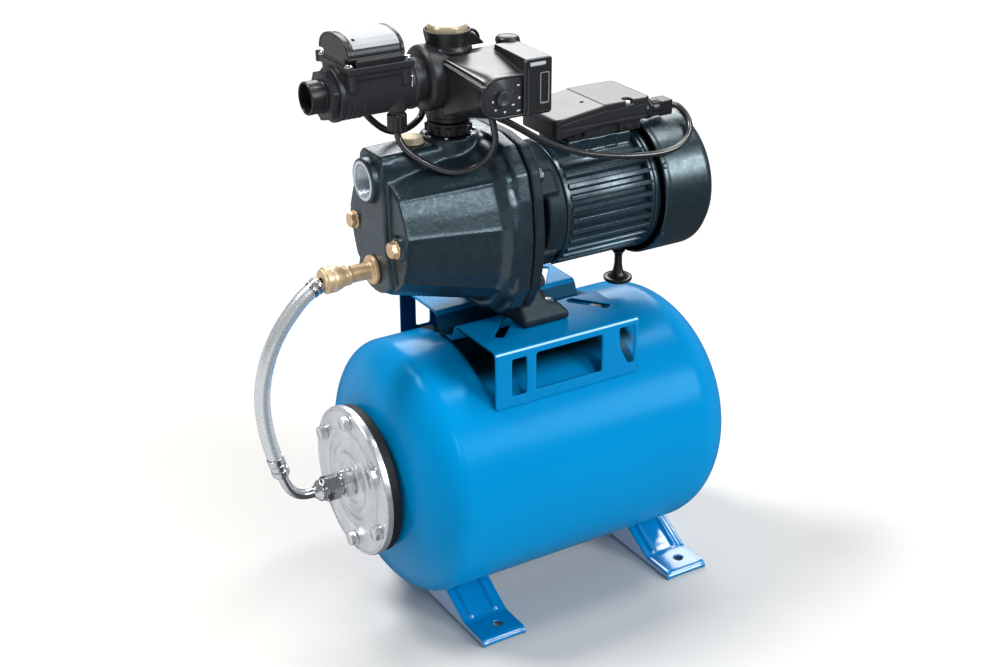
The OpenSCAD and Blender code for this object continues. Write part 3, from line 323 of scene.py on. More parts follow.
class Field:
    """A signed distance on a regular grid, in millimetres from the middle of the feet."""

    def __init__(s, x0, x1, y0, y1, z0, z1, h):
        s.h = h
        s.o = np.array([x0, y0, z0], np.float32)
        n = [int(math.ceil((b - a) / h)) + 1 for a, b in ((x0, x1), (y0, y1), (z0, z1))]
        s.X = (x0 + h * np.arange(n[0], dtype=np.float32)).reshape(-1, 1, 1)
        s.Y = (y0 + h * np.arange(n[1], dtype=np.float32)).reshape(1, -1, 1)
        s.Z = (z0 + h * np.arange(n[2], dtype=np.float32)).reshape(1, 1, -1)
        s.n = n
        s.d = np.full(n, 50.0, np.float32)

    # -- shapes: each gives an array that broadcasts over the grid
    def box(s, x0, x1, y0, y1, z0, z1):
        a = np.abs(s.X - (x0 + x1) / 2) - abs(x1 - x0) / 2
        b = np.abs(s.Y - (y0 + y1) / 2) - abs(y1 - y0) / 2
        c = np.abs(s.Z - (z0 + z1) / 2) - abs(z1 - z0) / 2
        return np.maximum(np.maximum(a, b), c)

    def rbox(s, x0, x1, y0, y1, z0, z1, r):
        a = np.abs(s.X - (x0 + x1) / 2) - (abs(x1 - x0) / 2 - r)
        b = np.abs(s.Y - (y0 + y1) / 2) - (abs(y1 - y0) / 2 - r)
        c = np.abs(s.Z - (z0 + z1) / 2) - (abs(z1 - z0) / 2 - r)
        out = np.sqrt(np.maximum(a, 0) ** 2 + np.maximum(b, 0) ** 2 + np.maximum(c, 0) ** 2)
        return out + np.minimum(np.maximum(np.maximum(a, b), c), 0) - r

    def cyl(s, ax, a0, a1, r, u, v, r2=None):
        """ax "x": centre (y, z); "y": (x, z); "z": (x, y). r2 at the a1 end makes a cone."""
        A, U, V = {"x": (s.X, s.Y, s.Z), "y": (s.Y, s.X, s.Z), "z": (s.Z, s.X, s.Y)}[ax]
        rr = r if r2 is None else r + (r2 - r) * np.clip((A - a0) / (a1 - a0), 0, 1)
        q = np.hypot(U - u, V - v) - rr
        return np.maximum(q, np.abs(A - (a0 + a1) / 2) - abs(a1 - a0) / 2)

    def prism(s, ax, pts, a0, a1, pts2=None):
        """Outline run along an axis: "x": (y, z) points; "y": (x, z); "z": (x, y). pts2 is the outline at a1."""
        A, U, V = {"x": (s.X, s.Y, s.Z), "y": (s.Y, s.X, s.Z), "z": (s.Z, s.X, s.Y)}[ax]
        p = np.array(pts, float)
        if pts2 is None:
            q = poly_sd(U.ravel(), V.ravel(), p)
            q = q.reshape({"x": (1, s.n[1], s.n[2]), "y": (s.n[0], 1, s.n[2]), "z": (s.n[0], s.n[1], 1)}[ax])
        else:
            p2 = np.array(pts2, float)
            a = A.ravel()
            q = np.empty(s.n, np.float32)
            cache = {}
            for i, v in enumerate(a):
                t = round(min(1.0, max(0.0, (float(v) - a0) / (a1 - a0))), 5)
                if t not in cache:
                    cache = {t: poly_sd(U.ravel(), V.ravel(), p + (p2 - p) * t)}
                if ax == "x":
                    q[i] = cache[t]
                elif ax == "y":
                    q[:, i] = cache[t]
                else:
                    q[:, :, i] = cache[t]
        return np.maximum(q, np.abs(A - (a0 + a1) / 2) - abs(a1 - a0) / 2)

    def line(s, pts, r, r2=None):
        """round bar along a polyline"""
        best = None
        m = len(pts) - 1
        for k in range(m):
            a, b = np.array(pts[k], float), np.array(pts[k + 1], float)
            e = b - a
            L = float(e @ e)
            t = np.clip(((s.X - a[0]) * e[0] + (s.Y - a[1]) * e[1] + (s.Z - a[2]) * e[2]) / L, 0, 1)
            q = np.sqrt((s.X - a[0] - e[0] * t) ** 2 + (s.Y - a[1] - e[1] * t) ** 2 + (s.Z - a[2] - e[2] * t) ** 2)
            rr = r if r2 is None else r + (r2 - r) * (k + t) / m
            q = q - rr
            best = q if best is None else np.minimum(best, q)
        return best

    def plane(s, at, normal):
        n = np.array(normal, float)
        n /= np.linalg.norm(n)
        return (s.X - at[0]) * n[0] + (s.Y - at[1]) * n[1] + (s.Z - at[2]) * n[2]

    def polar(s, ax, u, v):
        """radius and angle round an axis"""
        U, V = {"x": (s.Y, s.Z), "y": (s.X, s.Z), "z": (s.X, s.Y)}[ax]
        return np.hypot(U - u, V - v), np.arctan2(V - v, U - u)

    # -- joining
    def add(s, q, k=0.0):
        if k > 0:
            h = np.clip(0.5 + 0.5 * (s.d - q) / k, 0, 1)
            s.d = (s.d * (1 - h) + q * h - k * h * (1 - h)).astype(np.float32)
        else:
            s.d = np.minimum(s.d, q).astype(np.float32)
        return s

    def cut(s, q, k=0.0):
        if k > 0:
            h = np.clip(0.5 - 0.5 * (s.d + q) / k, 0, 1)
            s.d = (s.d * (1 - h) - q * h + k * h * (1 - h)).astype(np.float32)
        else:
            s.d = np.maximum(s.d, -q).astype(np.float32)
        return s

    def soften(s, times=3):
        """rounds every edge and hollow corner a little"""
        d = s.d
        for _ in range(times):
            for ax in range(3):
                p = np.concatenate([d.take([0], ax), d, d.take([-1], ax)], ax)
                n = d.shape[ax]
                a = [slice(None)] * 3
                b = [slice(None)] * 3
                c = [slice(None)] * 3
                a[ax], b[ax], c[ax] = slice(0, n), slice(1, n + 1), slice(2, n + 2)
                d = p[tuple(a)] * 0.25 + p[tuple(b)] * 0.5 + p[tuple(c)] * 0.25
        s.d = d.astype(np.float32)
        return s

    def close(s):
        """keeps the surface off the grid's edge"""
        for ax in range(3):
            for e in (0, -1):
                a = [slice(None)] * 3
                a[ax] = e
                s.d[tuple(a)] = np.maximum(s.d[tuple(a)], 0.5 * s.h)
        return s

    def sample(s, p):
        g = (p - s.o) / s.h
        i = np.clip(np.floor(g).astype(int), 0, np.array(s.n) - 2)
        f = (g - i).astype(np.float32)
        out = 0
        for a in (0, 1):
            for b in (0, 1):
                for c in (0, 1):
                    w = (f[:, 0] if a else 1 - f[:, 0]) * (f[:, 1] if b else 1 - f[:, 1]) * (f[:, 2] if c else 1 - f[:, 2])
                    out = out + w * s.d[i[:, 0] + a, i[:, 1] + b, i[:, 2] + c]
        return out

    def mesh(s, fit=2):
        """surface nets: points in millimetres and quads, outward"""
        s.close()
        d = s.d
        neg = d < 0
        nx, ny, nz = d.shape
        cnt = np.zeros((nx - 1, ny - 1, nz - 1), np.int8)
        for a in (0, 1):
            for b in (0, 1):
                for c in (0, 1):
                    cnt += neg[a:nx - 1 + a, b:ny - 1 + b, c:nz - 1 + c]
        act = (cnt > 0) & (cnt < 8)
        I, J, K = np.nonzero(act)
        idx = np.full(act.shape, -1, np.int32)
        idx[I, J, K] = np.arange(len(I))
        corner = [(a, b, c) for a in (0, 1) for b in (0, 1) for c in (0, 1)]
        V = {q: d[I + q[0], J + q[1], K + q[2]] for q in corner}
        acc = np.zeros((len(I), 3), np.float64)
        num = np.zeros(len(I))
        for q in corner:
            for ax in range(3):
                if q[ax]:
                    continue
                r = list(q)
                r[ax] = 1
                r = tuple(r)
                va, vb = V[q], V[r]
                hit = (va < 0) != (vb < 0)
                t = np.where(hit, va / np.where(hit, va - vb, 1), 0)
                p = np.array(q, float)[None, :].repeat(len(I), 0)
                p[:, ax] += t
                acc += np.where(hit[:, None], p, 0)
                num += hit
        pts = s.o + s.h * (np.stack([I, J, K], 1) + acc / num[:, None])
        for _ in range(fit):
            e = 0.5 * s.h
            v = s.sample(pts)
            g = np.stack([s.sample(pts + [e, 0, 0]) - s.sample(pts - [e, 0, 0]),
                          s.sample(pts + [0, e, 0]) - s.sample(pts - [0, e, 0]),
                          s.sample(pts + [0, 0, e]) - s.sample(pts - [0, 0, e])], 1) / (2 * e)
            m = (g * g).sum(1)
            step = -g * (v / np.maximum(m, 0.05))[:, None]
            L = np.linalg.norm(step, axis=1)
            step *= np.minimum(1, 0.6 * s.h / np.maximum(L, 1e-9))[:, None]
            pts = pts + step
        quads = []
        # edges along x, y, z of the grid, inside it
        for ax in range(3):
            u, v = [(1, 2), (2, 0), (0, 1)][ax]
            sl0 = [slice(1, -1)] * 3
            sl1 = [slice(1, -1)] * 3
            sl0[ax] = slice(0, -1)
            sl1[ax] = slice(1, None)
            a, b = neg[tuple(sl0)], neg[tuple(sl1)]
            for flip, hit in ((False, a & ~b), (True, ~a & b)):
                c = np.array(np.nonzero(hit)).T
                if not len(c):
                    continue
                c = c + 1
                c[:, ax] -= 1
                q = []
                for du, dv in ((0, 0), (-1, 0), (-1, -1), (0, -1)):
                    k = c.copy()
                    k[:, u] += du
                    k[:, v] += dv
                    q.append(idx[k[:, 0], k[:, 1], k[:, 2]])
                q = np.stack(q, 1)
                quads.append(q[:, ::-1] if flip else q)
        return pts, np.concatenate(quads)


def poly_sd(u, v, p):
    """signed distance of every (u, v) to a closed outline"""
    U = u.reshape(-1, 1).astype(np.float32)
    V = v.reshape(1, -1).astype(np.float32)
    d2 = np.full((len(u), len(v)), 1e9, np.float32)
    inside = np.zeros((len(u), len(v)), bool)
    for k in range(len(p)):
        a, b = p[k], p[(k + 1) % len(p)]
        e = b - a
        L = float(e @ e)
        if L < 1e-9:
            continue
        t = np.clip(((U - a[0]) * e[0] + (V - a[1]) * e[1]) / L, 0, 1)
        d2 = np.minimum(d2, (U - a[0] - e[0] * t) ** 2 + (V - a[1] - e[1] * t) ** 2)
        if abs(e[1]) > 1e-9:
            cross = ((a[1] <= V) != (b[1] <= V)) & (U < e[0] * (V - a[1]) / e[1] + a[0])
            inside ^= cross
    d = np.sqrt(d2)
    return np.where(inside, -d, d).astype(np.float32)


def mirrored(h):
    """an outline with its mirror image in the first coordinate"""
    return [tuple(p) for p in h] + [(-p[0], p[1]) for p in reversed(h) if abs(p[0]) > 0.01]


# ---------------------------------------------------------------- mesh helpers
def to_object(name, pts, faces, mat, body="set", rep=(), slot=None, sharp=None, flip=False):
    """pts in millimetres from the middle of the feet; faces an array of quads or a list of corner lists"""
    me = bpy.data.meshes.new(name)
    v = np.asarray(pts, float).copy()
    v[:, 0] += OX
    v /= 1000.0
    if isinstance(faces, np.ndarray):
        f = faces[:, ::-1] if flip else faces
        me.vertices.add(len(v))
        me.vertices.foreach_set("co", v.astype(np.float32).ravel())
        me.loops.add(f.size)
        me.loops.foreach_set("vertex_index", f.astype(np.int32).ravel())
        me.polygons.add(len(f))
        me.polygons.foreach_set("loop_start", np.arange(0, f.size, f.shape[1], dtype=np.int32))
        me.update(calc_edges=True)
    else:
        me.from_pydata([tuple(p) for p in v], [], [tuple(reversed(q)) if flip else tuple(q) for q in faces])
        me.update()
    me.validate()
    me.shade_smooth()
    if sharp is not None:
        me.set_sharp_from_angle(angle=math.radians(sharp))
    ob = bpy.data.objects.new(name, me)
    scene.collection.objects.link(ob)
    me.materials.append(MATS[mat])
    if rep:
        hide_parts(*rep)
    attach(ob, body)
    return ob


def fillet(pts, r, n=3, closed=False):
    """rounds the corners of a profile or outline; r is one radius or one for each point"""
    p = [Vector(q) for q in pts]
    m = len(p)
    out = []
    for i in range(m):
        rr = r[i] if isinstance(r, (list, tuple)) else r
        if (not closed and i in (0, m - 1)) or rr <= 0:
            out.append(tuple(p[i]))
            continue
        a, b, c = p[i - 1], p[i], p[(i + 1) % m]
        u, w = a - b, c - b
        if u.length < 1e-6 or w.length < 1e-6 or math.degrees(u.angle(w)) > 172:
            out.append(tuple(b))
            continue
        t = min(rr, 0.45 * u.length, 0.45 * w.length)
        s, e = b + u.normalized() * t, b + w.normalized() * t
        for k in range(n + 1):
            f = k / n
            out.append(tuple(s * (1 - f) ** 2 + b * 2 * f * (1 - f) + e * f ** 2))
    return out


def frame_of(axis):
    """turns a lathe's own axes (u, v, along) into x, y, z"""
    return {"x": lambda u, v, t: (t, u, v), "z": lambda u, v, t: (u, v, t), "y": lambda u, v, t: (v, t, u)}[axis]


def lathe_data(profile, segs=96, axis="x", centre=(0, 0), closed=False, move=None):
    """profile of (radius, along) points; centre is (y, z) for x, (x, y) for z and (z, x) for y"""
    fr = frame_of(axis)
    verts, rings, faces = [], [], []
    for r, t in profile:
        if r < 1e-6:
            verts.append(fr(centre[0], centre[1], t))
            rings.append([len(verts) - 1])
        else:
            base = len(verts)
            for k in range(segs):
                a = 2 * math.pi * k / segs
                verts.append(fr(centre[0] + r * math.cos(a), centre[1] + r * math.sin(a), t))
            rings.append(list(range(base, base + segs)))
    pairs = list(zip(rings, rings[1:])) + ([(rings[-1], rings[0])] if closed else [])
    for a, b in pairs:
        for k in range(segs):
            k2 = (k + 1) % segs
            if len(a) == 1 and len(b) == 1:
                continue
            if len(a) == 1:
                faces.append([a[0], b[k2], b[k]])
            elif len(b) == 1:
                faces.append([a[k], a[k2], b[0]])
            else:
                faces.append([a[k], a[k2], b[k2], b[k]])
    # outward: the signed volume tells
    v = np.array(verts, float)
    vol = 0.0
    for f in faces:
        for i in range(1, len(f) - 1):
            vol += float(np.dot(v[f[0]], np.cross(v[f[i]], v[f[i + 1]])))
    if vol < 0:
        faces = [f[::-1] for f in faces]
    if move is not None:
        v = np.array([tuple(move @ Vector(q)) for q in v])
    return v, faces


def lathe(name, profile, mat, axis="x", centre=(0, 0), segs=96, closed=False, sharp=40, move=None, **kw):
    v, f = lathe_data(profile, segs, axis, centre, closed, move)
    return to_object(name, v, f, mat, sharp=sharp, **kw)


def joined(parts):
    """several (points, faces) as one"""
    vs, fs, n = [], [], 0
    for v, f in parts:
        vs.append(np.asarray(v, float))
        fs += [[i + n for i in q] for q in (f.tolist() if isinstance(f, np.ndarray) else f)]
        n += len(v)
    return np.concatenate(vs), fs


def from_field(name, f, mat, body="set", rep=(), slot=None, fit=2, share=None):
    v, q = f.mesh(fit)
    ob = to_object(name, v, q, mat, body=body, rep=rep, slot=slot)
    if share:
        m = ob.modifiers.new("fewer", "DECIMATE")
        m.ratio = share
    return ob


def catmull(p, n):
    out = []
    P_ = [Vector(q) for q in p]
    for i in range(len(P_) - 1):
        a, b, c, d = P_[max(i - 1, 0)], P_[i], P_[i + 1], P_[min(i + 2, len(P_) - 1)]
        for j in range(n):
            t = j / n
            out.append(0.5 * ((2 * b) + (c - a) * t + (2 * a - 5 * b + 4 * c - d) * t * t + (3 * b - a - 3 * c + d) * t ** 3))
    out.append(P_[-1])
    return out


def frames(path, up=(0, 1, 0)):
    """a turning-free frame along a path"""
    m = len(path)
    tang = [(path[min(i + 1, m - 1)] - path[max(i - 1, 0)]).normalized() for i in range(m)]
    u = Vector(up)
    out = []
    for t in tang:
        u = (u - t * u.dot(t)).normalized()
        out.append((t, u.copy(), t.cross(u)))
    return out


def tube_data(path, radius, segs=24, up=(0, 1, 0), caps=True):
    """radius: a number, or a function of (place along in millimetres, angle)"""
    fr = frames(path, up)
    s, verts, faces = 0.0, [], []
    for i, p in enumerate(path):
        if i:
            s += (path[i] - path[i - 1]).length
        t, u, w = fr[i]
        for k in range(segs):
            a = 2 * math.pi * k / segs
            r = radius(s, a) if callable(radius) else radius
            verts.append(tuple(p + (u * math.cos(a) + w * math.sin(a)) * r))
    for i in range(len(path) - 1):
        for k in range(segs):
            k2 = (k + 1) % segs
            faces.append([i * segs + k, i * segs + k2, (i + 1) * segs + k2, (i + 1) * segs + k])
    if caps:
        a = len(verts)
        verts.append(tuple(path[0]))
        b = len(verts)
        verts.append(tuple(path[-1]))
        last = (len(path) - 1) * segs
        for k in range(segs):
            k2 = (k + 1) % segs
            faces.append([a, k2, k])
            faces.append([b, last + k, last + k2])
    return np.array(verts), faces


# ---------------------------------------------------------------- cords
hose_route = [(-306.5, 0, 211), (-310.8, 0, 227), (-314, 0, 243), (-316.2, 0, 262), (-316.4, 0, 283), (-312.8, 0, 305),
              (-305.8, 0, 326), (-295.6, 0, 345), (-282, 0, 362), (-268.9, 0, 375.1), (-257.6, 0, 382.3)]
sensor_route = [(-171, -14, 528), (-170.3, -15.1, 519.2), (-165.4, -22, 508.7), (-151.3, -30.2, 496.7),
                (-133.1, -41.6, 488.5), (-114.1, -49.8, 489.7), (-100, -56, 500), (-94, -60, 515), (-95, -60, 530),
                (-97, -59, 540)]
motor_route = [(-94, -68, 540.5), (-84, -68, 535), (-70, -67, 526), (-45, -65, 510), (-12, -64, 494), (24, -63, 482.5),
               (60, -62, 475), (96, -62, 471.5), (120, -60, 473.5), (136, -54, 479), (145.5, -45, 486.5),
               (148, -35, 495), (143.5, -25.5, 503), (134.5, -22, 505)]
rear_route = [(-188, 20, 543), (-186, 20, 537), (-179, 20, 528.5), (-168, 20, 519), (-156, 20.5, 514),
              (-144, 21.5, 514), (-133, 23, 517.5), (-125, 24.5, 523), (-123, 24, 531), (-122.5, 22.5, 542.6)]


def braid_height(s, a, k=13, r=7.0):
    """woven bands of wire: how far the surface stands out, 0 to 1"""
    u = k * a / (2 * math.pi)
    v = s / (2 * math.pi * r / k) * 1.15
    p, q = u + v, u - v
    ip, iq = math.floor(p), math.floor(q)
    fp, fq = p - ip, q - iq
    over = (ip + iq) % 2 == 0
    hp = 1 - (2 * abs(fp - 0.5)) ** 3
    hq = 1 - (2 * abs(fq - 0.5)) ** 3
    hp *= 1.0 if over else 0.45
    hq *= 0.45 if over else 1.0
    wire = 0.12 * (0.5 + 0.5 * math.cos(2 * math.pi * 3 * (fq if hq > hp else fp)))
    return max(hp, hq) * 0.88 + wire


path = catmull(hose_route, 2)
fine = catmull([tuple(p) for p in path], 16)
v, f = tube_data(fine, lambda s, a: 7.32 + 0.26 * braid_height(s, a, 13, 7.6), segs=104)
hose = to_object("hose_braid", v, f, "braid", rep=("braided_hose",), slot="braid")
for cname, route, node in (("lead_sensor", sensor_route, "sensor_lead"), ("lead_motor", motor_route, "motor_lead"),
                           ("lead_rear", rear_route, "rear_lead")):
    fine = catmull(route, 10)
    v, f = tube_data(fine, 3.25, segs=28)
    ob = to_object(cname, v, f, "cable", rep=(node,), slot="cable")


# ---------------------------------------------------------------- pump casing
def angular(pts, n, c):
    """n points of half an outline at even angles about (0, c), so that two outlines can be joined"""
    out = []
    p = np.array(pts, float)
    for t in np.linspace(90, -90, n):
        d = np.array([math.cos(math.radians(t)), math.sin(math.radians(t))])
        best = None
        for k in range(len(p) - 1):
            a, b = p[k] - [0, c], p[k + 1] - [0, c]
            e = b - a
            det = -d[0] * e[1] + d[1] * e[0]
            if abs(det) < 1e-9:
                continue
            s = (-a[0] * e[1] + a[1] * e[0]) / det
            u = (d[0] * a[1] - d[1] * a[0]) / det
            if -1e-6 <= u <= 1 + 1e-6 and s > 0:
                best = s if best is None else max(best, s)
        out.append((float(d[0] * best) if abs(d[0]) > 1e-9 else 0.0, float(c + d[1] * best)))
    return out


cf = [(0, 483), (22, 481), (41.5, 468.7), (50, 455.2), (57.4, 435), (56.2, 421), (52.6, 405), (45.6, 387), (36, 377), (22, 368), (0, 364)]
cr = [(0, 502), (22, 502.5), (42, 495), (61, 476), (71.9, 454.5), (79.4, 434), (79.6, 411), (74, 390), (63, 369), (45, 352), (24, 343), (0, 341)]
ce = [(0, 503), (24, 503), (47, 497), (65, 480), (77, 456), (82, 434), (83, 410), (77.5, 386), (66, 363), (48, 344), (26, 335), (0, 333)]
pad = [(0, 500), (22.5, 500), (22.3, 477.7), (24.5, 459), (24.3, 436), (27.5, 402), (34.5, 381), (24, 371.5), (10, 366.5), (0, 365.5)]
rf = [(0, 506), (16, 506), (21, 502), (23, 494), (23, 470), (0, 462)]
rr = [(0, 508.5), (20, 508.5), (23, 504.5), (23, 478), (0, 470)]
flange_out = [(0, 511), (22, 511), (50, 505), (72, 483), (79, 458), (83, 421), (82, 400), (77, 368), (63, 343), (42, 330), (0, 327)]
bracket_out = [(0, 509), (22, 509), (50, 504), (71, 483), (78, 458), (82, 421), (81, 400), (76, 370), (63, 345), (42, 330), (30, 318), (0, 318)]
oa, ob_, oc = mirrored(angular(cf, 49, 424)), mirrored(angular(cr, 49, 424)), mirrored(angular(ce, 49, 424))


def onto(f, pts, lift=0.0):
    """moves points along the field's slope to its surface"""
    p = np.array(pts, float)
    e = 0.6 * f.h
    for _ in range(6):
        v = f.sample(p) - lift
        g = np.stack([f.sample(p + [e, 0, 0]) - f.sample(p - [e, 0, 0]), f.sample(p + [0, e, 0]) - f.sample(p - [0, e, 0]),
                      f.sample(p + [0, 0, e]) - f.sample(p - [0, 0, e])], 1) / (2 * e)
        p = p - g * (v / np.maximum((g * g).sum(1), 0.1))[:, None]
    return [tuple(q) for q in p]


def between(a, b, n):
    a, b = np.array(a, float), np.array(b, float)
    return [tuple(a + (b - a) * t) for t in np.linspace(0, 1, n)]


def both(route):
    return [route, [(x, -y, z) for x, y, z in route]]


HC = 1.22
f = Field(-205, -61.5, -87, 87, 323, 515.5, HC)
f.add(f.prism("x", oa, -187.5, -92, ob_))
f.add(f.prism("x", ob_, -92, -79, oc), 2)
body = f.d.copy()
# ridges where the faces meet, and round the panels
ridges = []
for y0, z0, y1, z1, x1 in ((-41.5, 468.7, -61, 476, -94), (-57.4, 435, -79.2, 434.3, -92), (-48.5, 388, -63, 369, -92), (-20.5, 481, -22, 502.5, -92)):
    ridges.append(between((-186, y0, z0), (x1, y1, z1), 9))
ridges.append([(-94, -62, 474.5), (-93.3, -68.5, 463), (-92.4, -75, 448.5), (-92, -79.2, 434.3)])
ridges.append([(-92, -63, 369), (-91, -70.5, 380.5), (-91, -76.5, 396), (-91.4, -79.4, 410)])
ridges.append([(-186.6, -23, 480), (-186.6, -41.5, 468.7), (-186.6, -51, 456), (-186.6, -57.4, 435), (-186.6, -57, 421), (-186.6, -53.4, 405), (-186.6, -45.6, 387)])
rid = np.full(f.n, 50.0, np.float32)
for r in ridges:
    for q in both(onto(f, r)):
        rid = np.minimum(rid, f.line(q, 1.55))
f.add(rid, 0.5)
# rounded bead in front of the flange, flange with its bolt bosses
sd_c = poly_sd(f.Y.ravel(), f.Z.ravel(), np.array(oc, float)).reshape(1, f.n[1], f.n[2])
f.add(np.hypot(sd_c + 2.6, (f.X + 85.5) * 0.8) - 5.0, 5)
f.add(f.prism("x", mirrored(flange_out), -79.5, -64), 2)
for s in (-1, 1):
    f.add(f.cyl("x", -86, -66, 10.5, s * 60, 474), 3)
    f.add(f.cyl("x", -84, -66, 10.5, s * 64, 367), 4)
# neck of the suction port along the top, and the raised pad
f.add(f.prism("x", mirrored(angular(rf, 33, 486)), -193, -79, mirrored(angular(rr, 33, 486))), 2.5)
f.add(f.prism("x", mirrored(pad), -193, -182), 1.2)
f.add(f.cyl("x", -202.2, -178, 21.8, 0, 479.3), 3)
f.add(f.cyl("z", 492, 511.9, 27.3, -109, 0), 4)
f.add(f.cyl("x", -188.5, -180, 12, 45, 424), 1.5)
f.add(f.cyl("x", -192, -180, 12, -45, 424), 1.5)
f.add(f.cyl("z", 499, 507.6, 12.5, -149, 0), 2)
f.soften(2)
f.cut(f.cyl("x", -206, -140, 15.1, 0, 479.3), 0.6)
f.cut(f.cyl("z", 506, 520, 15.2, -109, 0))
f.cut(f.prism("x", mirrored(angular([(0, 503), (82, 503), (82, 335), (0, 335)], 9, 421)), -63.2, -60))
from_field("casing_shell", f, "slate_cast", rep=("pump_casing",), slot="slate_paint")
# bright machined face and thread of the suction port
ring = fillet([(15.0, -150), (15.0, -201.2), (15.9, -202.35), (18.9, -202.35), (19.3, -201.8), (19.3, -199.5)], 0.3)
lathe("suction_face", [(r, x) for r, x in ring], "machined", "x", (0, 479.3), segs=112, slot="slate_paint")
thread = []
for i in range(60):
    x = -200.8 + i * 0.6
    thread.append((14.9 if i % 2 else 14.2, x))
lathe("suction_thread", thread, "machined", "x", (0, 479.3), segs=96, sharp=20, slot="slate_paint")

# ---------------------------------------------------------------- motor bracket
HB = 1.42
f = Field(-68, -8, -87, 87, 315.5, 512, HB)
f.add(f.prism("x", mirrored(bracket_out), -62, -50))
f.add(f.cyl("x", -62, -12, 23, 0, 421), 4)
ring_ = np.maximum(f.cyl("x", -33, -12, 63, 0, 421), -f.cyl("x", -50, -5, 54, 0, 421))
f.add(ring_)
f.add(f.cyl("x", -33, -28, 60, 0, 421), 1)
for a in (38, 142, 218, 322):
    ca, sa = math.cos(math.radians(a)), math.sin(math.radians(a))
    u = f.Y * ca + (f.Z - 421) * sa
    w = -f.Y * sa + (f.Z - 421) * ca
    q = np.maximum(np.maximum(np.abs(u - 55) - 11, np.abs(w) - 12), np.abs(f.X + 36) - 16)
    f.add(q.astype(np.float32), 1.0)
ped = [(64, 317.5), (64, 324.6), (34, 369), (-34, 369), (-64, 324.6), (-64, 317.5)]
q = f.prism("x", ped, -62, -9)
q = np.maximum(q, f.plane((-9, 0, 325), (42, 0, 37)))
f.add(q, 2.5)
f.cut(f.cyl("x", -70, -5, 9, 0, 421))
for s in (-1, 1):
    for y, z in ((60, 474), (64, 367)):
        f.cut(f.cyl("x", -50, -5, 9.5, s * y, z), 0.6)
    f.cut(f.cyl("z", 326.9, 390, 10, -24, s * 44), 0.6)
arch_ = np.minimum(f.cyl("x", -80, 0, 16, 0, 322), f.box(-80, 0, -24, 24, 300, 316.5))
f.cut(arch_, 3)
f.soften(2)
from_field("bracket_casting", f, "slate_dull", rep=("motor_bracket",), slot="slate_paint")

# ---------------------------------------------------------------- motor
def fin_outline(n=34):
    """half-millimetre true outline of the finned housing, angle by angle"""
    pts = []
    for i in range(n):
        a = (i + 0.12) * 360 / n
        mid = math.radians(a)
        finned = abs(a - 90) > 30 and abs(a - 270) > 16
        half = math.pi / n
        if finned:
            t = 2.5 / 65
            prof = [(-half, 58.2), (-0.062, 58.2), (-0.052, 58.9), (-t * 1.12, 61.5), (-t, 64.1), (-t * 0.78, 64.85), (0, 65.0),
                    (t * 0.78, 64.85), (t, 64.1), (t * 1.12, 61.5), (0.052, 58.9), (0.062, 58.2)]
        else:
            prof = [(-half, 60.0), (-half / 2, 60.0), (0, 60.0), (half / 2, 60.0)]
        for da, r in prof:
            pts.append((r * math.cos(mid + da), 421 + r * math.sin(mid + da)))
    return pts


def extruded(outline, x0, x1, ends=0.6, plane="yz", shut=True):
    """an outline run along an axis, its ends turned in a little; plane says what the outline's two numbers are"""
    o = np.array(outline, float)
    c = o.mean(0)
    m = len(o)
    rows = []
    for x, k in ((x0, ends), (x0 + ends * 0.4, ends * 0.35), (x0 + ends, 0), (x1 - ends, 0), (x1 - ends * 0.4, ends * 0.35), (x1, ends)):
        d = o - c
        n_ = np.linalg.norm(d, axis=1)[:, None]
        p = o - d / np.maximum(n_, 1e-6) * k
        if plane == "yz":
            rows.append(np.column_stack([np.full(m, x), p]))
        elif plane == "xz":
            rows.append(np.column_stack([p[:, 0], np.full(m, x), p[:, 1]]))
        else:
            rows.append(np.column_stack([p, np.full(m, x)]))
    v = np.concatenate(rows)
    faces = []
    for r in range(len(rows) - 1):
        for k in range(m):
            k2 = (k + 1) % m
            faces.append([r * m + k, (r + 1) * m + k, (r + 1) * m + k2, r * m + k2])
    if shut:
        faces.append(list(range(m)))
        faces.append(list(range((len(rows) - 1) * m, len(rows) * m))[::-1])
    vol = 0.0
    for q in faces[:(len(rows) - 1) * m]:
        for i in (1, 2):
            vol += float(np.dot(v[q[0]], np.cross(v[q[i]], v[q[i + 1]])))
    if vol < 0:
        faces = [q[::-1] for q in faces]
    return v, faces


v, q = extruded(fin_outline(), -7, 91.4, 0.5)
to_object("motor_fins", v, q, "slate_fin", rep=("motor_housing",), slot="slate_paint", sharp=38)
lathe("motor_front_ring", fillet([(57.0, -12), (62.2, -12), (63, -11.2), (63, -6.6), (62.4, -6), (59.5, -6)], 0.5), "slate_satin", "x", (0, 421),
      segs=144, slot="slate_paint")
lathe("motor_end_band", fillet([(59.5, 86.5), (64.9, 88.4), (64.9, 91.9), (57, 91.9)], 0.5), "slate_satin", "x", (0, 421), segs=144, slot="slate_paint")
HM = 1.0
f = Field(6, 90, -30, 30, 468, 490, HM)
f.add(f.rbox(10, 86, -27, 27, 460, 487.9, 2.2))
f.add(f.rbox(12, 84, -30, 30, 460, 474.5, 3), 3)
for x in (30, 62):
    f.cut(f.rbox(x - 7, x + 7, -40, -25.8, 474.5, 486, 2.0), 0.8)
from_field("motor_seat", f, "slate_cast", slot="slate_paint")
v, q = extruded(fillet([(-6, 355.6), (6, 355.6), (6, 363), (-6, 363)], 1.2, 3, True), -7, 90.8, 0.6)
to_object("motor_keel", v, q, "slate_satin", slot="slate_paint", sharp=40)

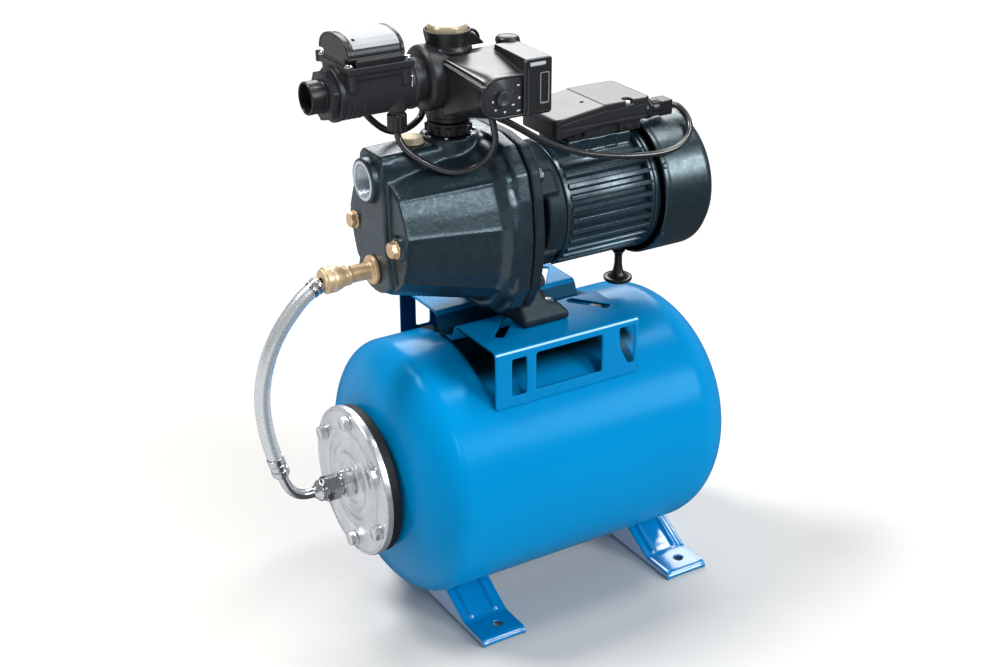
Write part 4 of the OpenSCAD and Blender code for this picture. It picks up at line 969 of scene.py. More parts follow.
lathe("shield_rim", fillet([(56, 92), (65.4, 92), (66, 92.6), (66, 97.4), (65.4, 98), (20, 98), (20, 104)], 0.5), "slate_satin", "x", (0, 421),
      segs=144, rep=("rear_shield",), slot="slate_paint")
cv = 73.6
cover = fillet([(cv - 2.2, 98.9), (cv - 0.8, 98.9), (cv, 99.7), (cv, 103.4), (cv - 0.5, 104.6), (cv, 105.8), (cv, 151.2), (cv - 1.0, 155.0), (cv - 3.4, 156.6), (cv - 4.6, 158.0),
                (cv - 5.4, 160.2), (cv - 7.6, 161.0), (66.2, 161.0), (62, 161.0)], [0, 0.6, 0.6, 0.5, 0.5, 0.5, 3, 2.4, 1.4, 1.2, 1, 1, 0, 0], 4)
inner = [(62, 159.4), (cv - 8.4, 159.4), (cv - 5.6, 155), (cv - 1.9, 151), (cv - 1.9, 98.9)]
lathe("cover_drum", cover + inner, "slate_satin", "x", (0, 421), segs=168, rep=("fan_cover",), slot="slate_paint", closed=True)
# grille of the cover: rings between eight ribs
for k in range(6):
    ri = [0, 22, 31, 40, 49, 58][k]
    ro = [17, 26, 35, 44, 53, 62.2][k]
    lathe("cover_ring_%d" % k, fillet([(ri, 159.4), (ri, 161), (ro, 161), (ro, 159.4)] if ri else [(0, 161), (ro, 161), (ro, 159.4), (0, 159.4)], 0.35, 3),
          "slate_satin", "x", (0, 421), segs=120, slot="slate_paint", closed=bool(ri))
for i in range(4):
    a = math.radians(45 * i + 22.5)
    ca, sa = math.cos(a), math.sin(a)
    o = [(-62.5, -2.4), (62.5, -2.4), (62.5, 2.4), (-62.5, 2.4)]
    o = [(y * ca - z * sa, 421 + y * sa + z * ca) for y, z in o]
    v, q = extruded(o, 159.5, 160.9, 0.15)
    to_object("cover_rib_%d" % i, v, q, "slate_satin", slot="slate_paint", sharp=30)


# ---------------------------------------------------------------- turned and hexagonal pieces
def turned_data(profile, axis="x", centre=(0, 0), segs=96, shape=None, closed=False, move=None):
    """like lathe_data, with the radius changed by shape(angle, radius, place along)"""
    fr = frame_of(axis)
    verts, rings, faces = [], [], []
    for r, t in profile:
        if r < 1e-6:
            verts.append(fr(centre[0], centre[1], t))
            rings.append([len(verts) - 1])
        else:
            base = len(verts)
            for k in range(segs):
                a = 2 * math.pi * k / segs
                q = shape(a, r, t) if shape else r
                verts.append(fr(centre[0] + q * math.cos(a), centre[1] + q * math.sin(a), t))
            rings.append(list(range(base, base + segs)))
    for a, b in list(zip(rings, rings[1:])) + ([(rings[-1], rings[0])] if closed else []):
        for k in range(segs):
            k2 = (k + 1) % segs
            if len(a) == 1 and len(b) == 1:
                continue
            if len(a) == 1:
                faces.append([a[0], b[k2], b[k]])
            elif len(b) == 1:
                faces.append([a[k], a[k2], b[0]])
            else:
                faces.append([a[k], a[k2], b[k2], b[k]])
    v = np.array(verts, float)
    vol = 0.0
    for f_ in faces:
        for i in range(1, len(f_) - 1):
            vol += float(np.dot(v[f_[0]], np.cross(v[f_[i]], v[f_[i + 1]])))
    if vol < 0:
        faces = [f_[::-1] for f_ in faces]
    if move is not None:
        v = np.array([tuple(move @ Vector(q)) for q in v])
    return v, faces


def hexed(af, vertex, soft=0.985):
    """limits a radius to a hexagon; vertex is the angle of one corner in degrees"""
    top = af / math.sqrt(3) * soft

    def shape(a, r, t):
        w = (math.degrees(a) - vertex) % 60.0 - 30.0
        return min(r, af / 2 / math.cos(math.radians(w)), top)
    return shape


def hex_data(axis, a0, a1, af, centre, vertex, ch0=0.8, ch1=0.8, bore=0.0, move=None):
    """chamfered hexagon; ch0 and ch1 are the chamfers' depths at its two ends"""
    R = af / math.sqrt(3)
    flat = af / 2
    rows = [(bore if bore else 0.0, a0), (flat * 0.955, a0)] if ch0 else [(bore if bore else 0.0, a0), (R, a0)]
    if ch0:
        rows += [(flat * 0.985 + 0.1, a0 + ch0 * 0.12), (R, a0 + ch0)]
    if ch1:
        rows += [(R, a1 - ch1), (flat * 0.985 + 0.1, a1 - ch1 * 0.12), (flat * 0.955, a1), (bore if bore else 0.0, a1)]
    else:
        rows += [(R, a1), (bore if bore else 0.0, a1)]
    return turned_data(rows, axis, centre, 144, hexed(af, vertex), closed=bool(bore), move=move)


def bolt(name, at, mat="zinc", af=13.0, head=5.4, washer=8.0, wt=1.5, vertex=0.0, direction=-1, slot="zinc", rep=(), face_x=-228.6):
    """hexagon head with a washer, axis along x; direction -1 puts the head towards -x of face_x"""
    y, z = at
    s = direction
    w = turned_data([(0, face_x), (washer - 0.3, face_x), (washer, face_x - s * 0.3), (washer, face_x - s * (wt - 0.3)), (washer - 0.3, face_x - s * wt), (0, face_x - s * wt)],
                    "x", (y, z), 56)
    a0, a1 = sorted((face_x, face_x + s * head))
    h = hex_data("x", a0, a1, af, (y, z), vertex, 0 if s < 0 else 1.1, 1.1 if s > 0 else 0) if False else \
        hex_data("x", a0, a1, af, (y, z), vertex, 1.1 if s < 0 else 0, 1.1 if s > 0 else 0)
    v, q = joined([w, h])
    return to_object(name, v, q, mat, slot=slot, rep=rep, sharp=28)


# ---------------------------------------------------------------- tank
def dome_at(r, edge, f_):
    return math.acos((edge / r) ** (f_ / 2))


def dome(x0, s, depth, r, a0, a1, n, f_):
    out = []
    for i in range(n + 1):
        a = a0 + (a1 - a0) * i / n
        out.append((r * max(math.cos(a), 0) ** (2 / f_), x0 + s * depth * max(math.sin(a), 0) ** (2 / f_)))
    return out


def eased(x0, s, depth, r, a0, a1, n, f_):
    """the same dome, its points closer together where it curves most"""
    out = []
    for i in range(n + 1):
        t = i / n
        t = t ** 1.6 if a0 < a1 else 1 - (1 - t) ** 1.6
        a = a0 + (a1 - a0) * t
        out.append((r * max(math.cos(a), 0) ** (2 / f_), x0 + s * depth * max(math.sin(a), 0) ** (2 / f_)))
    return out


front = eased(-161, -1, 51, 133.4, dome_at(133.4, 51, 2.14), 0, 46, 2.14)
rear = eased(113.5, 1, 76, 133.4, 0, math.pi / 2, 60, 2.09)
prof = fillet([(48, -213.9), (75.2, -213.9), (76, -213.1), (76, -210.9), (75.2, -210.1), (53, -210.1)], 0.5) + \
    [(51.4, -209.6), front[0]] + front[1:] + rear[1:-1] + [(0.0, rear[-1][1])]
v, q = lathe_data(prof, 224, "x", (0, 163.8))
to_object("tank_steel", v, q, "tank_painted_plate_and_window_shade", rep=("tank_shell",), slot="blue_paint", sharp=50)
lathe("valve_boss", fillet([(0, 196.3), (0, 195.5), (10.4, 195.5), (11, 194.9), (11, 189.6), (12.6, 188.4), (14, 187.4)], 0.4), "tank_paint", "x", (0, 163.8), segs=64, slot="blue_paint")
lathe("valve_stem", fillet([(0, 211.4), (3.8, 211.4), (3.8, 197.5), (8, 197.5), (8, 195.6), (0, 195.6)], 0.3), "brass", "x", (0, 163.8), segs=48, rep=("air_valve",), slot="brass")


def knurl(n, depth):
    return lambda a, r, t: r - (depth * (0.5 + 0.5 * math.cos(a * n)) if r > 5.4 else 0)


v, q = turned_data(fillet([(3.95, 199.6), (5.4, 199.6), (6, 200.2), (6, 213.6), (5.3, 215.3), (0, 215.4)], 0.5), "x", (0, 163.8), 120, knurl(20, 0.35))
to_object("valve_cap", v, q, "black_plastic", rep=("air_valve_cap",), slot="black_plastic", sharp=45)
# black lip of the bladder between the flange and the tank
lathe("bladder_lip", fillet([(50, -224.1), (74.4, -224.1), (74.9, -222), (74.9, -220), (76.3, -219.6), (76.5, -218.6), (76.5, -211.4), (75.8, -209.8), (50, -209.8)], 0.4), "rubber", "x", (0, 163.8),
      segs=144, rep=("tank_bladder",), slot="rubber")

# ---------------------------------------------------------------- tank flange
fx = -227.0
R_ = 77.7
face = [(13, fx - 1.6), (20, fx - 1.6), (22.6, fx - 0.2), (24.5, fx), (29.4, fx), (32.2, fx - 1.4), (37.6, fx - 1.4), (40.2, fx), (48, fx), (50.5, fx + 0.7), (54, fx + 0.7), (56.5, fx),
        (R_ - 5.4, fx), (R_ - 4.2, fx + 0.5), (R_ - 2.6, fx - 0.9), (R_ - 1.1, fx - 0.6), (R_ - 0.1, fx + 1.4), (R_, fx + 3.6), (R_, -220.1), (R_ - 2.2, -220.1), (R_ - 2.3, fx + 4.8),
        (R_ - 4.8, fx + 2.6), (13, fx + 2.6)]
lathe("flange_plate", fillet(face, [0, 1.4, 1.6, 1, 1.6, 1.6, 1.6, 1.6, 1.4, 1.4, 1.4, 1.4, 0.8, 0.8, 1, 1, 1.2, 1.6, 0.4, 0.4, 0.6, 0.6, 0], 4), "galvanised", "x", (0, 163.8),
      segs=200, closed=True, rep=("tank_flange",), slot="galvanised")
for i in range(6):
    a = math.radians(60 * i - 3)
    bolt("flange_bolt_%d" % i, (-65 * math.sin(a), 163.8 + 65 * math.cos(a)), vertex=17 + 41 * i, face_x=-228.6, slot="zinc", rep=("flange_bolts",) if i == 0 else ())

# ---------------------------------------------------------------- hose end fittings
nz = 163.8
h1 = hex_data("x", -240.9, -228.75, 27, (0, nz), -90, 1.2, 0.9)
n1 = turned_data(fillet([(12.9, -228.8), (12.9, -226)], 0), "x", (0, nz), 72)
n2 = turned_data(fillet([(10.1, -252.5), (10.1, -240.8)], 0), "x", (0, nz), 72)
v, q = joined([h1, n1, n2])
to_object("nipple_hex", v, q, "chrome", rep=("flange_nipple",), slot="chrome", sharp=26)
h1 = hex_data("x", -258.4, -243, 24, (0, nz), -78, 1.0, 1.0, bore=8.2)
n1 = turned_data(fillet([(8.1, -260), (10.7, -260), (11.4, -259.3), (11.4, -258.3)], 0.3), "x", (0, nz), 72)
v, q = joined([h1, n1])
to_object("swivel_hex", v, q, "chrome_dark", body="swivel", rep=("swivel_nut",), slot="chrome", sharp=26)
er = [(-266, 0, 165), (-272.5, 0, 165), (-280, 0, 166.2), (-286.8, 0, 169.5), (-292.2, 0, 174.5), (-296.2, 0, 180.5), (-299.4, 0, 188), (-301.8, 0, 196)]
er = [(x, y, z - 1.2) for x, y, z in er]
pipe = catmull(er, 8)
parts_ = [tube_data(pipe, 5.0, 48, (0, 1, 0)),
          turned_data(fillet([(0, -253.5), (9.9, -253.5), (9.9, -255.3), (8, -255.3), (8, -261.6), (10.4, -261.6), (11, -262.1), (10.6, -263.4), (7.2, -266.4), (5.2, -269.5), (4.8, -272)], 0.6, 4),
                      "x", (0, nz), 72)]
v, q = joined(parts_)
to_object("elbow_pipe", v, q, "chrome", rep=("hose_elbow",), slot="chrome", sharp=30)


def tilted(at, deg):
    return Matrix.Translation(Vector(at)) @ Matrix.Rotation(math.radians(deg), 4, "Y")


def crimped(k, depth, z0, z1):
    """shallow flats pressed round a sleeve"""
    def shape(a, r, t):
        if z0 < t < z1 and r > 6:
            return r - depth * max(0.0, math.cos(a * k)) ** 2
        return r
    return shape


rows = fillet([(5.2, 0), (6.6, 0), (7.0, 0.4), (7.0, 2.3), (8.5, 2.6), (8.8, 3.2), (8.8, 8.4), (8.4, 9.0), (7.6, 9.4), (7.6, 10.6), (8.4, 11.1), (8.4, 15.4), (7.8, 15.9), (7.8, 16.7),
               (8.4, 17.2), (8.4, 21.0), (8.5, 23.2), (8.2, 24.0), (7.7, 24.0), (7.65, 20)], 0.35, 3)
rows = [rows[0]] + [p for p in rows[1:]]
v1 = turned_data(rows, "z", (0, 0), 96, crimped(8, 0.5, 2.9, 8.6), move=tilted((-301.3, 0, 192.8), -16.5))
rows = fillet([(3.2, 0.6), (6.8, 0.6), (7.4, 1.1), (7.4, 2.8), (8.5, 3.2), (8.8, 3.8), (8.8, 7.4), (8.4, 8.0), (7.8, 8.4), (7.8, 9.2), (8.4, 9.7), (8.4, 12.3), (8.2, 13.0), (7.7, 13.0), (7.65, 10)], 0.35, 3)
v2 = turned_data(rows, "z", (0, 0), 96, crimped(8, 0.5, 3.5, 7.6), move=tilted((-249.2, 0, 387.3), -120.7))
v, q = joined([v1, v2])
to_object("crimp_sleeves", v, q, "chrome", rep=("hose_ferrules",), slot="chrome", sharp=34)

lathe("brass_nut", fillet([(4, -249), (10.7, -249), (11.4, -248.4), (11.4, -247.0), (12.2, -246.6), (13, -245.9), (13, -241.2), (12.5, -240.6), (12.5, -239.6), (13, -239.0), (13, -236.2),
                           (11.3, -231), (9.6, -226.6), (9.4, -226), (9.4, -224.2), (5, -224)], 0.6, 4), "brass", "x", (0, 388), segs=120,
      rep=("brass_elbow_nut",), slot="brass", sharp=50)
lathe("brass_stem", fillet([(5, -224.1), (9.3, -224.1), (9.9, -223.5), (9.9, -220.6), (9.2, -219.6), (8.4, -218.6), (8.4, -199.4), (9.4, -198.2), (13.4, -197.8), (14.5, -196.9), (14.5, -194.1),
                            (13.9, -193.3), (9, -193.2), (9, -184.5)], 0.7, 4), "brass", "x", (0, 388.4), segs=120, rep=("brass_adapter",), slot="brass", sharp=50)

# ---------------------------------------------------------------- plugs and bolts of the pump
for s, px in ((-1, -192.0), (1, -188.5)):
    c = (45 * s, 424)
    fl = turned_data(fillet([(0, px), (8.6, px), (9, px - 0.4), (9, px - 1.2), (8.6, px - 1.6), (0, px - 1.6)], 0.2), "x", c, 64)
    hx = hex_data("x", px - 7, px - 1.6, 14, c, -60, 1.1, 0)
    v, q = joined([fl, hx])
    to_object("gauge_plug_%s" % ("near" if s < 0 else "far"), v, q, "brass", rep=("gauge_plugs",) if s < 0 else (), slot="brass", sharp=26)
fl = turned_data(fillet([(0, 507.9), (11.8, 507.9), (12.2, 508.3), (12.2, 509.4), (11.8, 509.8), (0, 509.8)], 0.2), "z", (-149, 0), 72)
hx = hex_data("z", 509.8, 514, 21, (-149, 0), 10, 0, 1.2)
v, q = joined([fl, hx])
to_object("priming_hex", v, q, "brass_pale", rep=("priming_plug",), slot="brass", sharp=26)
k = 0
for s in (-1, 1):
    for y, z in ((60, 474), (64, 367)):
        bolt("casing_bolt_%d" % k, (s * y, z), mat="zinc_dark", direction=1, face_x=-48.4, vertex=20 * k, rep=("casing_bolts",) if k == 0 else ())
        k += 1
for s in (-1, 1):
    c = (-24, s * 44)
    w = turned_data(fillet([(0, 327), (8.0, 327), (8.4, 327.4), (8.4, 328.3), (8.0, 328.6), (0, 328.6)], 0.2), "z", c, 56)
    hx = hex_data("z", 328.6, 334, 13, c, 15, 0, 1.1)
    sh = turned_data([(3.9, 306.2), (3.9, 318), (3.9, 328)], "z", c, 32)
    nt = hex_data("z", 307.6, 314.2, 13, c, 15, 1.0, 1.0, bore=3.9)
    v, q = joined([w, hx, sh, nt])
    to_object("pedestal_bolt_%s" % ("near" if s < 0 else "far"), v, q, "zinc", rep=("pedestal_bolts",) if s < 0 else (), slot="zinc", sharp=26)

# ---------------------------------------------------------------- motor stand
lathe("stand_turned", fillet([(0, 312), (12.4, 312), (14.6, 313.2), (15.5, 315.4), (15.2, 317.2), (14.3, 317.5), (13.5, 316.6), (11.4, 316.9), (8.6, 318.6), (6.4, 321.8), (5.0, 326), (4.2, 332),
                              (4.0, 340), (4.6, 343.2), (6.2, 345.2), (7, 346), (7, 347.1), (3.8, 347.2), (3.8, 354.6), (0, 354.9)],
                             [0, 1, 1, 1, .6, .6, .8, 1, 1, 1, 1, 1, 1, 1, 1, .6, .3, .3, 0, 0], 4), "black_gloss", "z", (95, 0), segs=96, rep=("motor_stand",), slot="rubber", sharp=50)

# ---------------------------------------------------------------- feet
def sheet(name, outline, y0, y1, mat, **kw):
    v, q = extruded(outline, y0, y1, 0.5, "xz")
    return to_object(name, v, q, mat, sharp=32, **kw)


def foot_part(cx, tag, node):
    h, t, w = 117.5, 2.2, 51.0
    HF = 1.0
    f = Field(cx - 28, cx + 28, -119.5, 0.5 + HF, -1.5, 46, HF)
    prof = [(0, 29.6), (-34, 29.6), (-40, 27.6), (-76, 7.5), (-80, 6.4), (-h + 6, 6.4), (-h + 2, 5), (-h, 1.6), (-h, 0.0), (-h + t, 0.0), (-h + t, 1.2), (-h + 3.6, 3.2), (-h + 7, 6.4 - t),
            (-80.5, 6.4 - t), (-77, 7.5 - t), (-39.4, 27.3 - t), (-33.6, 29.6 - t), (0, 29.6 - t)]
    prof = [(y * 1.0, z) for y, z in prof] + [(8, 29.6 - t), (8, 29.6)]
    f.add(f.prism("x", prof, cx - w / 2, cx + w / 2))
    web = [(8, 29.4), (-33.8, 29.4), (-39.8, 27.4), (-76.3, 7.3), (-80.2, 6.2), (-h + 6.2, 6.2), (-h + 2.2, 4.8), (-h + 0.4, 1.6), (-h + 0.4, 0), (8, 0)]
    for x in (cx - w / 2, cx + w / 2 - t):
        f.add(f.prism("x", web, x, x + t), 2.0)
    # pressed beads along the sloped web
    for dx in (-14.5, 14.5):
        f.add(f.line([(cx + dx, -44, 25.6), (cx + dx, -73, 9.2)], 2.2), 2.0)
    f.cut(f.cyl("z", -3, 20, 4.5, cx + 4.5, -95), 0.5)
    f.cut(f.box(cx + w / 2 - t - 0.1, cx + w / 2 + 3, -h + 13, -h + 22, -3, 4.2), 0.3)
    f.cut(f.cyl("x", cx - 60, cx + 60, 133.4, 0, 163.8))
    f.soften(1)
    v, q = f.mesh(1)
    v[:, 2] = np.maximum(v[:, 2], 0.0)
    m = v.copy()
    m[:, 1] *= -1
    a = to_object("foot_%s_near" % tag, v, q, "foot_paint", rep=(node,), slot="blue_paint")
    b = to_object("foot_%s_far" % tag, m, q[:, ::-1], "foot_paint", slot="blue_paint")
    return a, b


foot_part(-117, "front", "front_foot")
foot_part(117, "rear", "rear_foot")

# ---------------------------------------------------------------- carrier plate
HP = 1.25
f = Field(-119, 55, -100, 0.5 + HP, 238, 320, HP)
b_ = 163.8 + 133.4
z_ = 317.5
prof = [(8, b_ + 3), (-9, b_ + 3), (-12, b_ + 5), (-18, z_ - 2), (-21, z_), (-94.6, z_), (-97.0, z_ - 0.9), (-98, z_ - 3.2), (-98, z_ - 6), (-95, z_ - 6), (-95, z_ - 3), (-22.4, z_ - 3),
        (-20.6, z_ - 4), (-14.2, b_ + 1.4), (-11, b_ + 0.1), (8, b_ + 0.1)]
f.add(f.prism("x", prof, -116.5, 52.5))
f.add(f.box(-116.5, 52.5, -98, -95, 240, z_ - 4), 1.0)
for x0, x1, z0, z1 in ((-97, -81, 268, 307), (-69, 8, 268.5, 308)):
    f.cut(f.box(x0, x1, -120, -80, z0, z1), 0.6)
f.cut(f.prism("y", [(29, 310), (47, 310), (47, 269), (41, 269), (31, 288)], -120, -80), 0.6)
f.cut(f.prism("y", [(-117.5, 239), (-108.5, 239), (-117.5, 262)], -120, -80), 0.5)
for (x0, y0), (x1, y1) in (((-92, -64), (-57, -28)), ((15, -26), (41, -60))):
    dx, dy = x1 - x0, y1 - y0
    L = math.hypot(dx, dy)
    ux, uy = dx / L, dy / L
    u = (f.X - x0) * ux + (f.Y - y0) * uy
    w = -(f.X - x0) * uy + (f.Y - y0) * ux
    f.cut(np.maximum(np.maximum(np.abs(u - L / 2) - L / 2, np.abs(w) - 4), np.abs(f.Z - 315) - 12).astype(np.float32), 0.5)
f.cut(f.cyl("z", 300, 330, 4.6, -24, -44))
f.cut(f.cyl("x", -300, 300, 133.5, 0, 163.8))
f.soften(1)
v, q = f.mesh(1)
m = v.copy()
m[:, 1] *= -1
to_object("carrier_near", v, q, "plate_painted_edge_highlight_and_slot_shade", rep=("carrier_plate",), slot="blue_paint")
to_object("carrier_far", m, q[:, ::-1], "plate_far_painted_shade", slot="blue_paint")


# ---------------------------------------------------------------- small helpers of the mouldings
def rect_xy(f, x0, x1, y0, y1, r):
    """rounded rectangle in plan"""
    a = np.abs(f.X - (x0 + x1) / 2) - ((x1 - x0) / 2 - r)
    b = np.abs(f.Y - (y0 + y1) / 2) - ((y1 - y0) / 2 - r)
    return np.sqrt(np.maximum(a, 0) ** 2 + np.maximum(b, 0) ** 2) + np.minimum(np.maximum(a, b), 0) - r


def turned(name, rows, mat, axis, centre, segs=96, closed=False, shape=None, soft=0.35, n=3, sharp=35, move=None, **kw):
    v, q = turned_data(fillet(rows, soft, n) if soft else rows, axis, centre, segs, shape, closed, move)
    return to_object(name, v, q, mat, sharp=sharp, **kw)


# ---------------------------------------------------------------- controller
turned("lock_ring_turned", [(15.2, 512), (19.6, 512), (20.2, 512.6), (20.2, 513.3), (22.7, 513.7), (22.7, 520.7), (20.2, 521.2), (20.2, 523.4), (19.6, 524), (15.2, 524)],
       "black_plastic", "z", (-109, 0), 240, True,
       lambda a, r, t: r if r < 20.4 else 20.2 + (r - 20.2) * min(1.0, max(0.0, (7.0 - abs((math.degrees(a) + 15) % 30 - 15)) / 1.6)),
       0.25, rep=("lock_ring",), slot="black_plastic")
body_rows = [(15, 524), (17.6, 524), (17.6, 526), (20.4, 526), (21, 526.6), (21, 529.6), (22.3, 530.6), (22.3, 590.2), (23.1, 591.4), (23.3, 593), (22.9, 594.6), (20.4, 596.4), (20.0, 598.2),
             (20.6, 601.4), (21.4, 604.6), (21.9, 607), (22.3, 609), (22.2, 610.8), (21.6, 611.2), (20.6, 611.1), (19.9, 609.8), (19.5, 606), (15, 606)]
turned("controller_column", body_rows, "black_gloss", "z", (-109, 0), 144, False, None, 0.5, 3, 50, rep=("controller_body",), slot="black_plastic")
turned("controller_drum", [(15, -150), (20.6, -150), (21, -149.4), (21, -141.6), (26.6, -141.2), (28.4, -140.6), (30.6, -138.2), (31, -136.8), (31, -114), (15, -114)],
       "black_plastic", "x", (0, 568), 120, False, None, 0.5, 3, 50, slot="black_plastic")
# moulded strengthening webs from the drum to the column, and a parting ridge
HM = 0.8
f = Field(-141, -84, -27, 27, 531, 600, HM)
f.add(f.prism("y", [(-140, 548), (-134, 540), (-124, 533), (-118, 532), (-118, 566), (-140, 566)], -1.4, 1.4))
f.add(f.prism("y", [(-136, 590), (-130, 593.6), (-118, 594), (-118, 580), (-136, 580)], -1.4, 1.4))
f.add(f.cyl("z", 531, 590, 22.9, -109, 0))
f.cut(f.cyl("z", 520, 600, 22.0, -109, 0))
f.cut(np.maximum(np.abs(f.Y) - 30, np.minimum(f.Y + 19.4 + 0 * f.X, 50)) * 0 + 50)
q = np.maximum(f.cyl("z", 500, 640, 23.4, -109, 0), -(np.abs(np.hypot(f.X + 109, f.Y) * np.sin(np.arctan2(f.Y, f.X + 109) + 2.05)) - 1.0))
f.cut(np.maximum(np.maximum(f.cyl("z", 500, 640, 23.6, -109, 0), -f.cyl("z", 500, 640, 22.3, -109, 0)),
                 1.0 - np.abs(np.hypot(f.X + 109, f.Y) * (((np.arctan2(f.Y, f.X + 109) + 2.22) + np.pi / 2) % np.pi - np.pi / 2)).astype(np.float32)), 0.2)
from_field("controller_webs", f, "black_gloss", slot="black_plastic")
af = 33.5
rows = [(0, 608), (18.2, 608), (19.4, 608.1), (19.4, 613.4), (18.9, 614.2), (16.6, 616.1), (15.8, 616.3), (0, 616.3)]
v1, q1 = turned_data(rows, "z", (-109, 0), 180, hexed(af, 28.5, 0.99))
v2, q2 = turned_data([(0, 600.2), (18.6, 600.2), (18.7, 607.6), (18.7, 608.4), (0, 608.4)], "z", (-109, 0), 96)
v, q = joined([(v1, q1), (v2, q2)])
to_object("plug_top", v, q, "brass_pale", rep=("top_plug",), slot="brass", sharp=24)

# ---------------------------------------------------------------- control head
HH = 0.74
f = Field(-131.5, -37.5, -86.8, 1.8, 533, 604, HH)
arcs = list(range(-90, -271, -9))
A_, B_ = (-128.0, 537.0), (-127.0, 591.0)
dee = [(-50.0, 543.6)] + [(-101 + 19.5 * math.cos(math.radians(a)), 563.4 + 19.5 * math.sin(math.radians(a))) for a in arcs] + [(-50.0, 583.2)]
rear_ = [(-48.0, 535.0)]
for i, a in enumerate(arcs):
    w = i / (len(arcs) - 1) * 0.3
    rear_.append((A_[0] + w, A_[1] - w * 0.2) if a > -180 else (B_[0] + w, B_[1] + w * 0.2))
rear_.append((-48.0, 594.0))
hood = f.prism("y", dee, -80, -24, rear_)
f.add(hood)
block_f = [(-75.2, 544.4), (-73.6, 542.8), (-48.8, 542.8), (-46.5, 545), (-46.5, 594.2), (-48.6, 596.2), (-74.6, 596.2), (-75.2, 595.2)]
block_b = [(-74.2, 539.0), (-73.0, 538), (-49.2, 538), (-48, 539.4), (-48, 596.2), (-49.4, 597.5), (-73.6, 597.5), (-74.2, 596.8)]
f.add(f.prism("y", block_f, -83, -26, block_b))
f.add(f.box(-120, -52, -26, -8, 537, 591))
f.add(f.cyl("z", 545, 595, 11.6, -50.6, -13))
f.soften(1)
# groove along the hood's lower edge, the edge below it, and the rim of the panel
g0 = Vector((-127.6, -25, 588.4))
g1 = Vector((-101 + 20.2 * math.cos(math.radians(139)), -79.6, 563.4 + 20.2 * math.sin(math.radians(139))))
f.cut(f.line([tuple(g0), tuple(g1)], 1.0, 2.2), 1.0)
h0 = Vector((-127.7, -25, 585.8))
h1 = Vector((-101 + 20.0 * math.cos(math.radians(147)), -79.6, 563.4 + 20.0 * math.sin(math.radians(147))))
f.add(f.line([tuple(h0), tuple(h1)], 1.0, 1.9), 1.2)


def dee_of(r, right=-76.4):
    return [(right, 563.4 - r)] + [(-101 + r * math.cos(math.radians(a)), 563.4 + r * math.sin(math.radians(a))) for a in range(-90, -271, -6)] + [(right, 563.4 + r)]


f.add(f.prism("y", dee_of(20.1, -75), -81.6, -76), 1.6)
f.cut(f.prism("y", dee_of(17.5), -84, -78.8), 0.5)
f.cut(f.cyl("y", -90, -74, 5.6, -98.3, 563.4))
# upright rib and groove at the block's left edge, the bare name place and its frame
f.add(f.line([(-75.4, -82.0, 545.5), (-75.4, -82.0, 593.5)], 1.5), 0.5)
f.cut(f.box(-73.0, -71.9, -84, -82.1, 545, 587), 0.3)
f.cut(f.box(-66.6, -65.6, -84, -82.4, 545, 587), 0.3)
f.cut(f.rbox(-59.4, -50.0, -86, -82.0, 553.2, 582.0, 0.8), 0.3)
f.cut(f.rbox(-70.6, -53.2, -86, -82.4, 589.0, 592.6, 0.6), 0.2)
f.cut(f.rbox(-62, -49, -86, -82.5, 546.4, 547.4, 0.4), 0.2)
f.cut(f.cyl("z", 500, 640, 22.35, -109, 0))
f.cut(f.cyl("x", -142, -113, 31.05, 0, 568))
from_field("head_shell", f, "head_plastic", rep=("control_head",), slot="black_plastic")


def ring_plate(name, outer, inner, y0, y1, mat, slot):
    """flat frame between two outlines of the same number of points"""
    m = len(outer)
    v = np.array([(x, y, z) for y in (y0, y1) for x, z in outer] + [(x, y, z) for y in (y0, y1) for x, z in inner], float)
    q = []
    for k in range(m):
        k2 = (k + 1) % m
        o0, o1, p0, p1 = k, k + m, k + 2 * m, k + 3 * m
        r0, r1, s0, s1 = k2, k2 + m, k2 + 2 * m, k2 + 3 * m
        q += [[o0, r0, r1, o1], [p0, p1, s1, s0], [o0, p0, s0, r0], [o1, r1, s1, p1]]
    return to_object(name, v, q, mat, slot=slot, sharp=40)


def rr_outline(x0, x1, z0, z1, r, n=5):
    out = []
    for cx, cz, a0 in ((x1 - r, z0 + r, -90), (x1 - r, z1 - r, 0), (x0 + r, z1 - r, 90), (x0 + r, z0 + r, 180)):
        out += [(cx + r * math.cos(math.radians(a0 + 90 * i / n)), cz + r * math.sin(math.radians(a0 + 90 * i / n))) for i in range(n + 1)]
    return out


# a thin frame round the name place; its light grey is a painted highlight for the recess edge catching the light
ring_plate("name_frame", rr_outline(-59.6, -49.8, 553.0, 582.2, 1.2), rr_outline(-58.7, -50.7, 553.9, 581.3, 0.8), -83.35, -82.3, "frame_painted_highlight", "button")
# a thin bar set in a shallow recess at the block's top; its pale colour is a painted highlight for the light on that
# edge
v, q = extruded(rr_outline(-70.3, -53.5, 589.3, 592.3, 0.7), -83.3, -82.2, 0.4, "xz")
to_object("head_bar", v, q, "bar_painted_highlight", slot="button", sharp=40)
turned("head_knob", [(0, 594), (9.8, 594), (11.6, 595), (11.7, 597.6), (11, 599.2), (9, 600.6), (6, 601.4), (0, 601.8)], "black_gloss", "z", (-53.5, -16.5), 72, False, None, 0.8, 4, 50, slot="black_plastic")
# wedge and lead loop behind the collar
f = Field(-88.5, -64, -4, 18, 590, 606, 0.7)
f.add(f.prism("y", [(-87, 592), (-69, 592), (-72, 595), (-82, 604.4), (-86, 605)], -2.5, 5.0))
f.soften(2)
from_field("head_wedge", f, "black_gloss", slot="black_plastic")
loop = catmull([(-86, 8, 596), (-84, 9, 601.5), (-79, 10.5, 603.4), (-73, 11.5, 601.6), (-69, 12, 597), (-68, 12, 592)], 8)
v, q = tube_data(loop, 1.5, segs=16)
to_object("head_loop", v, q, "black_gloss", slot="black_plastic")
v, q = extruded(dee_of(17.35, -76.6), -80.35, -78.9, 0.3, "xz")
to_object("panel_plate", v, q, "panel", rep=("panel_face",), slot="panel", sharp=40)


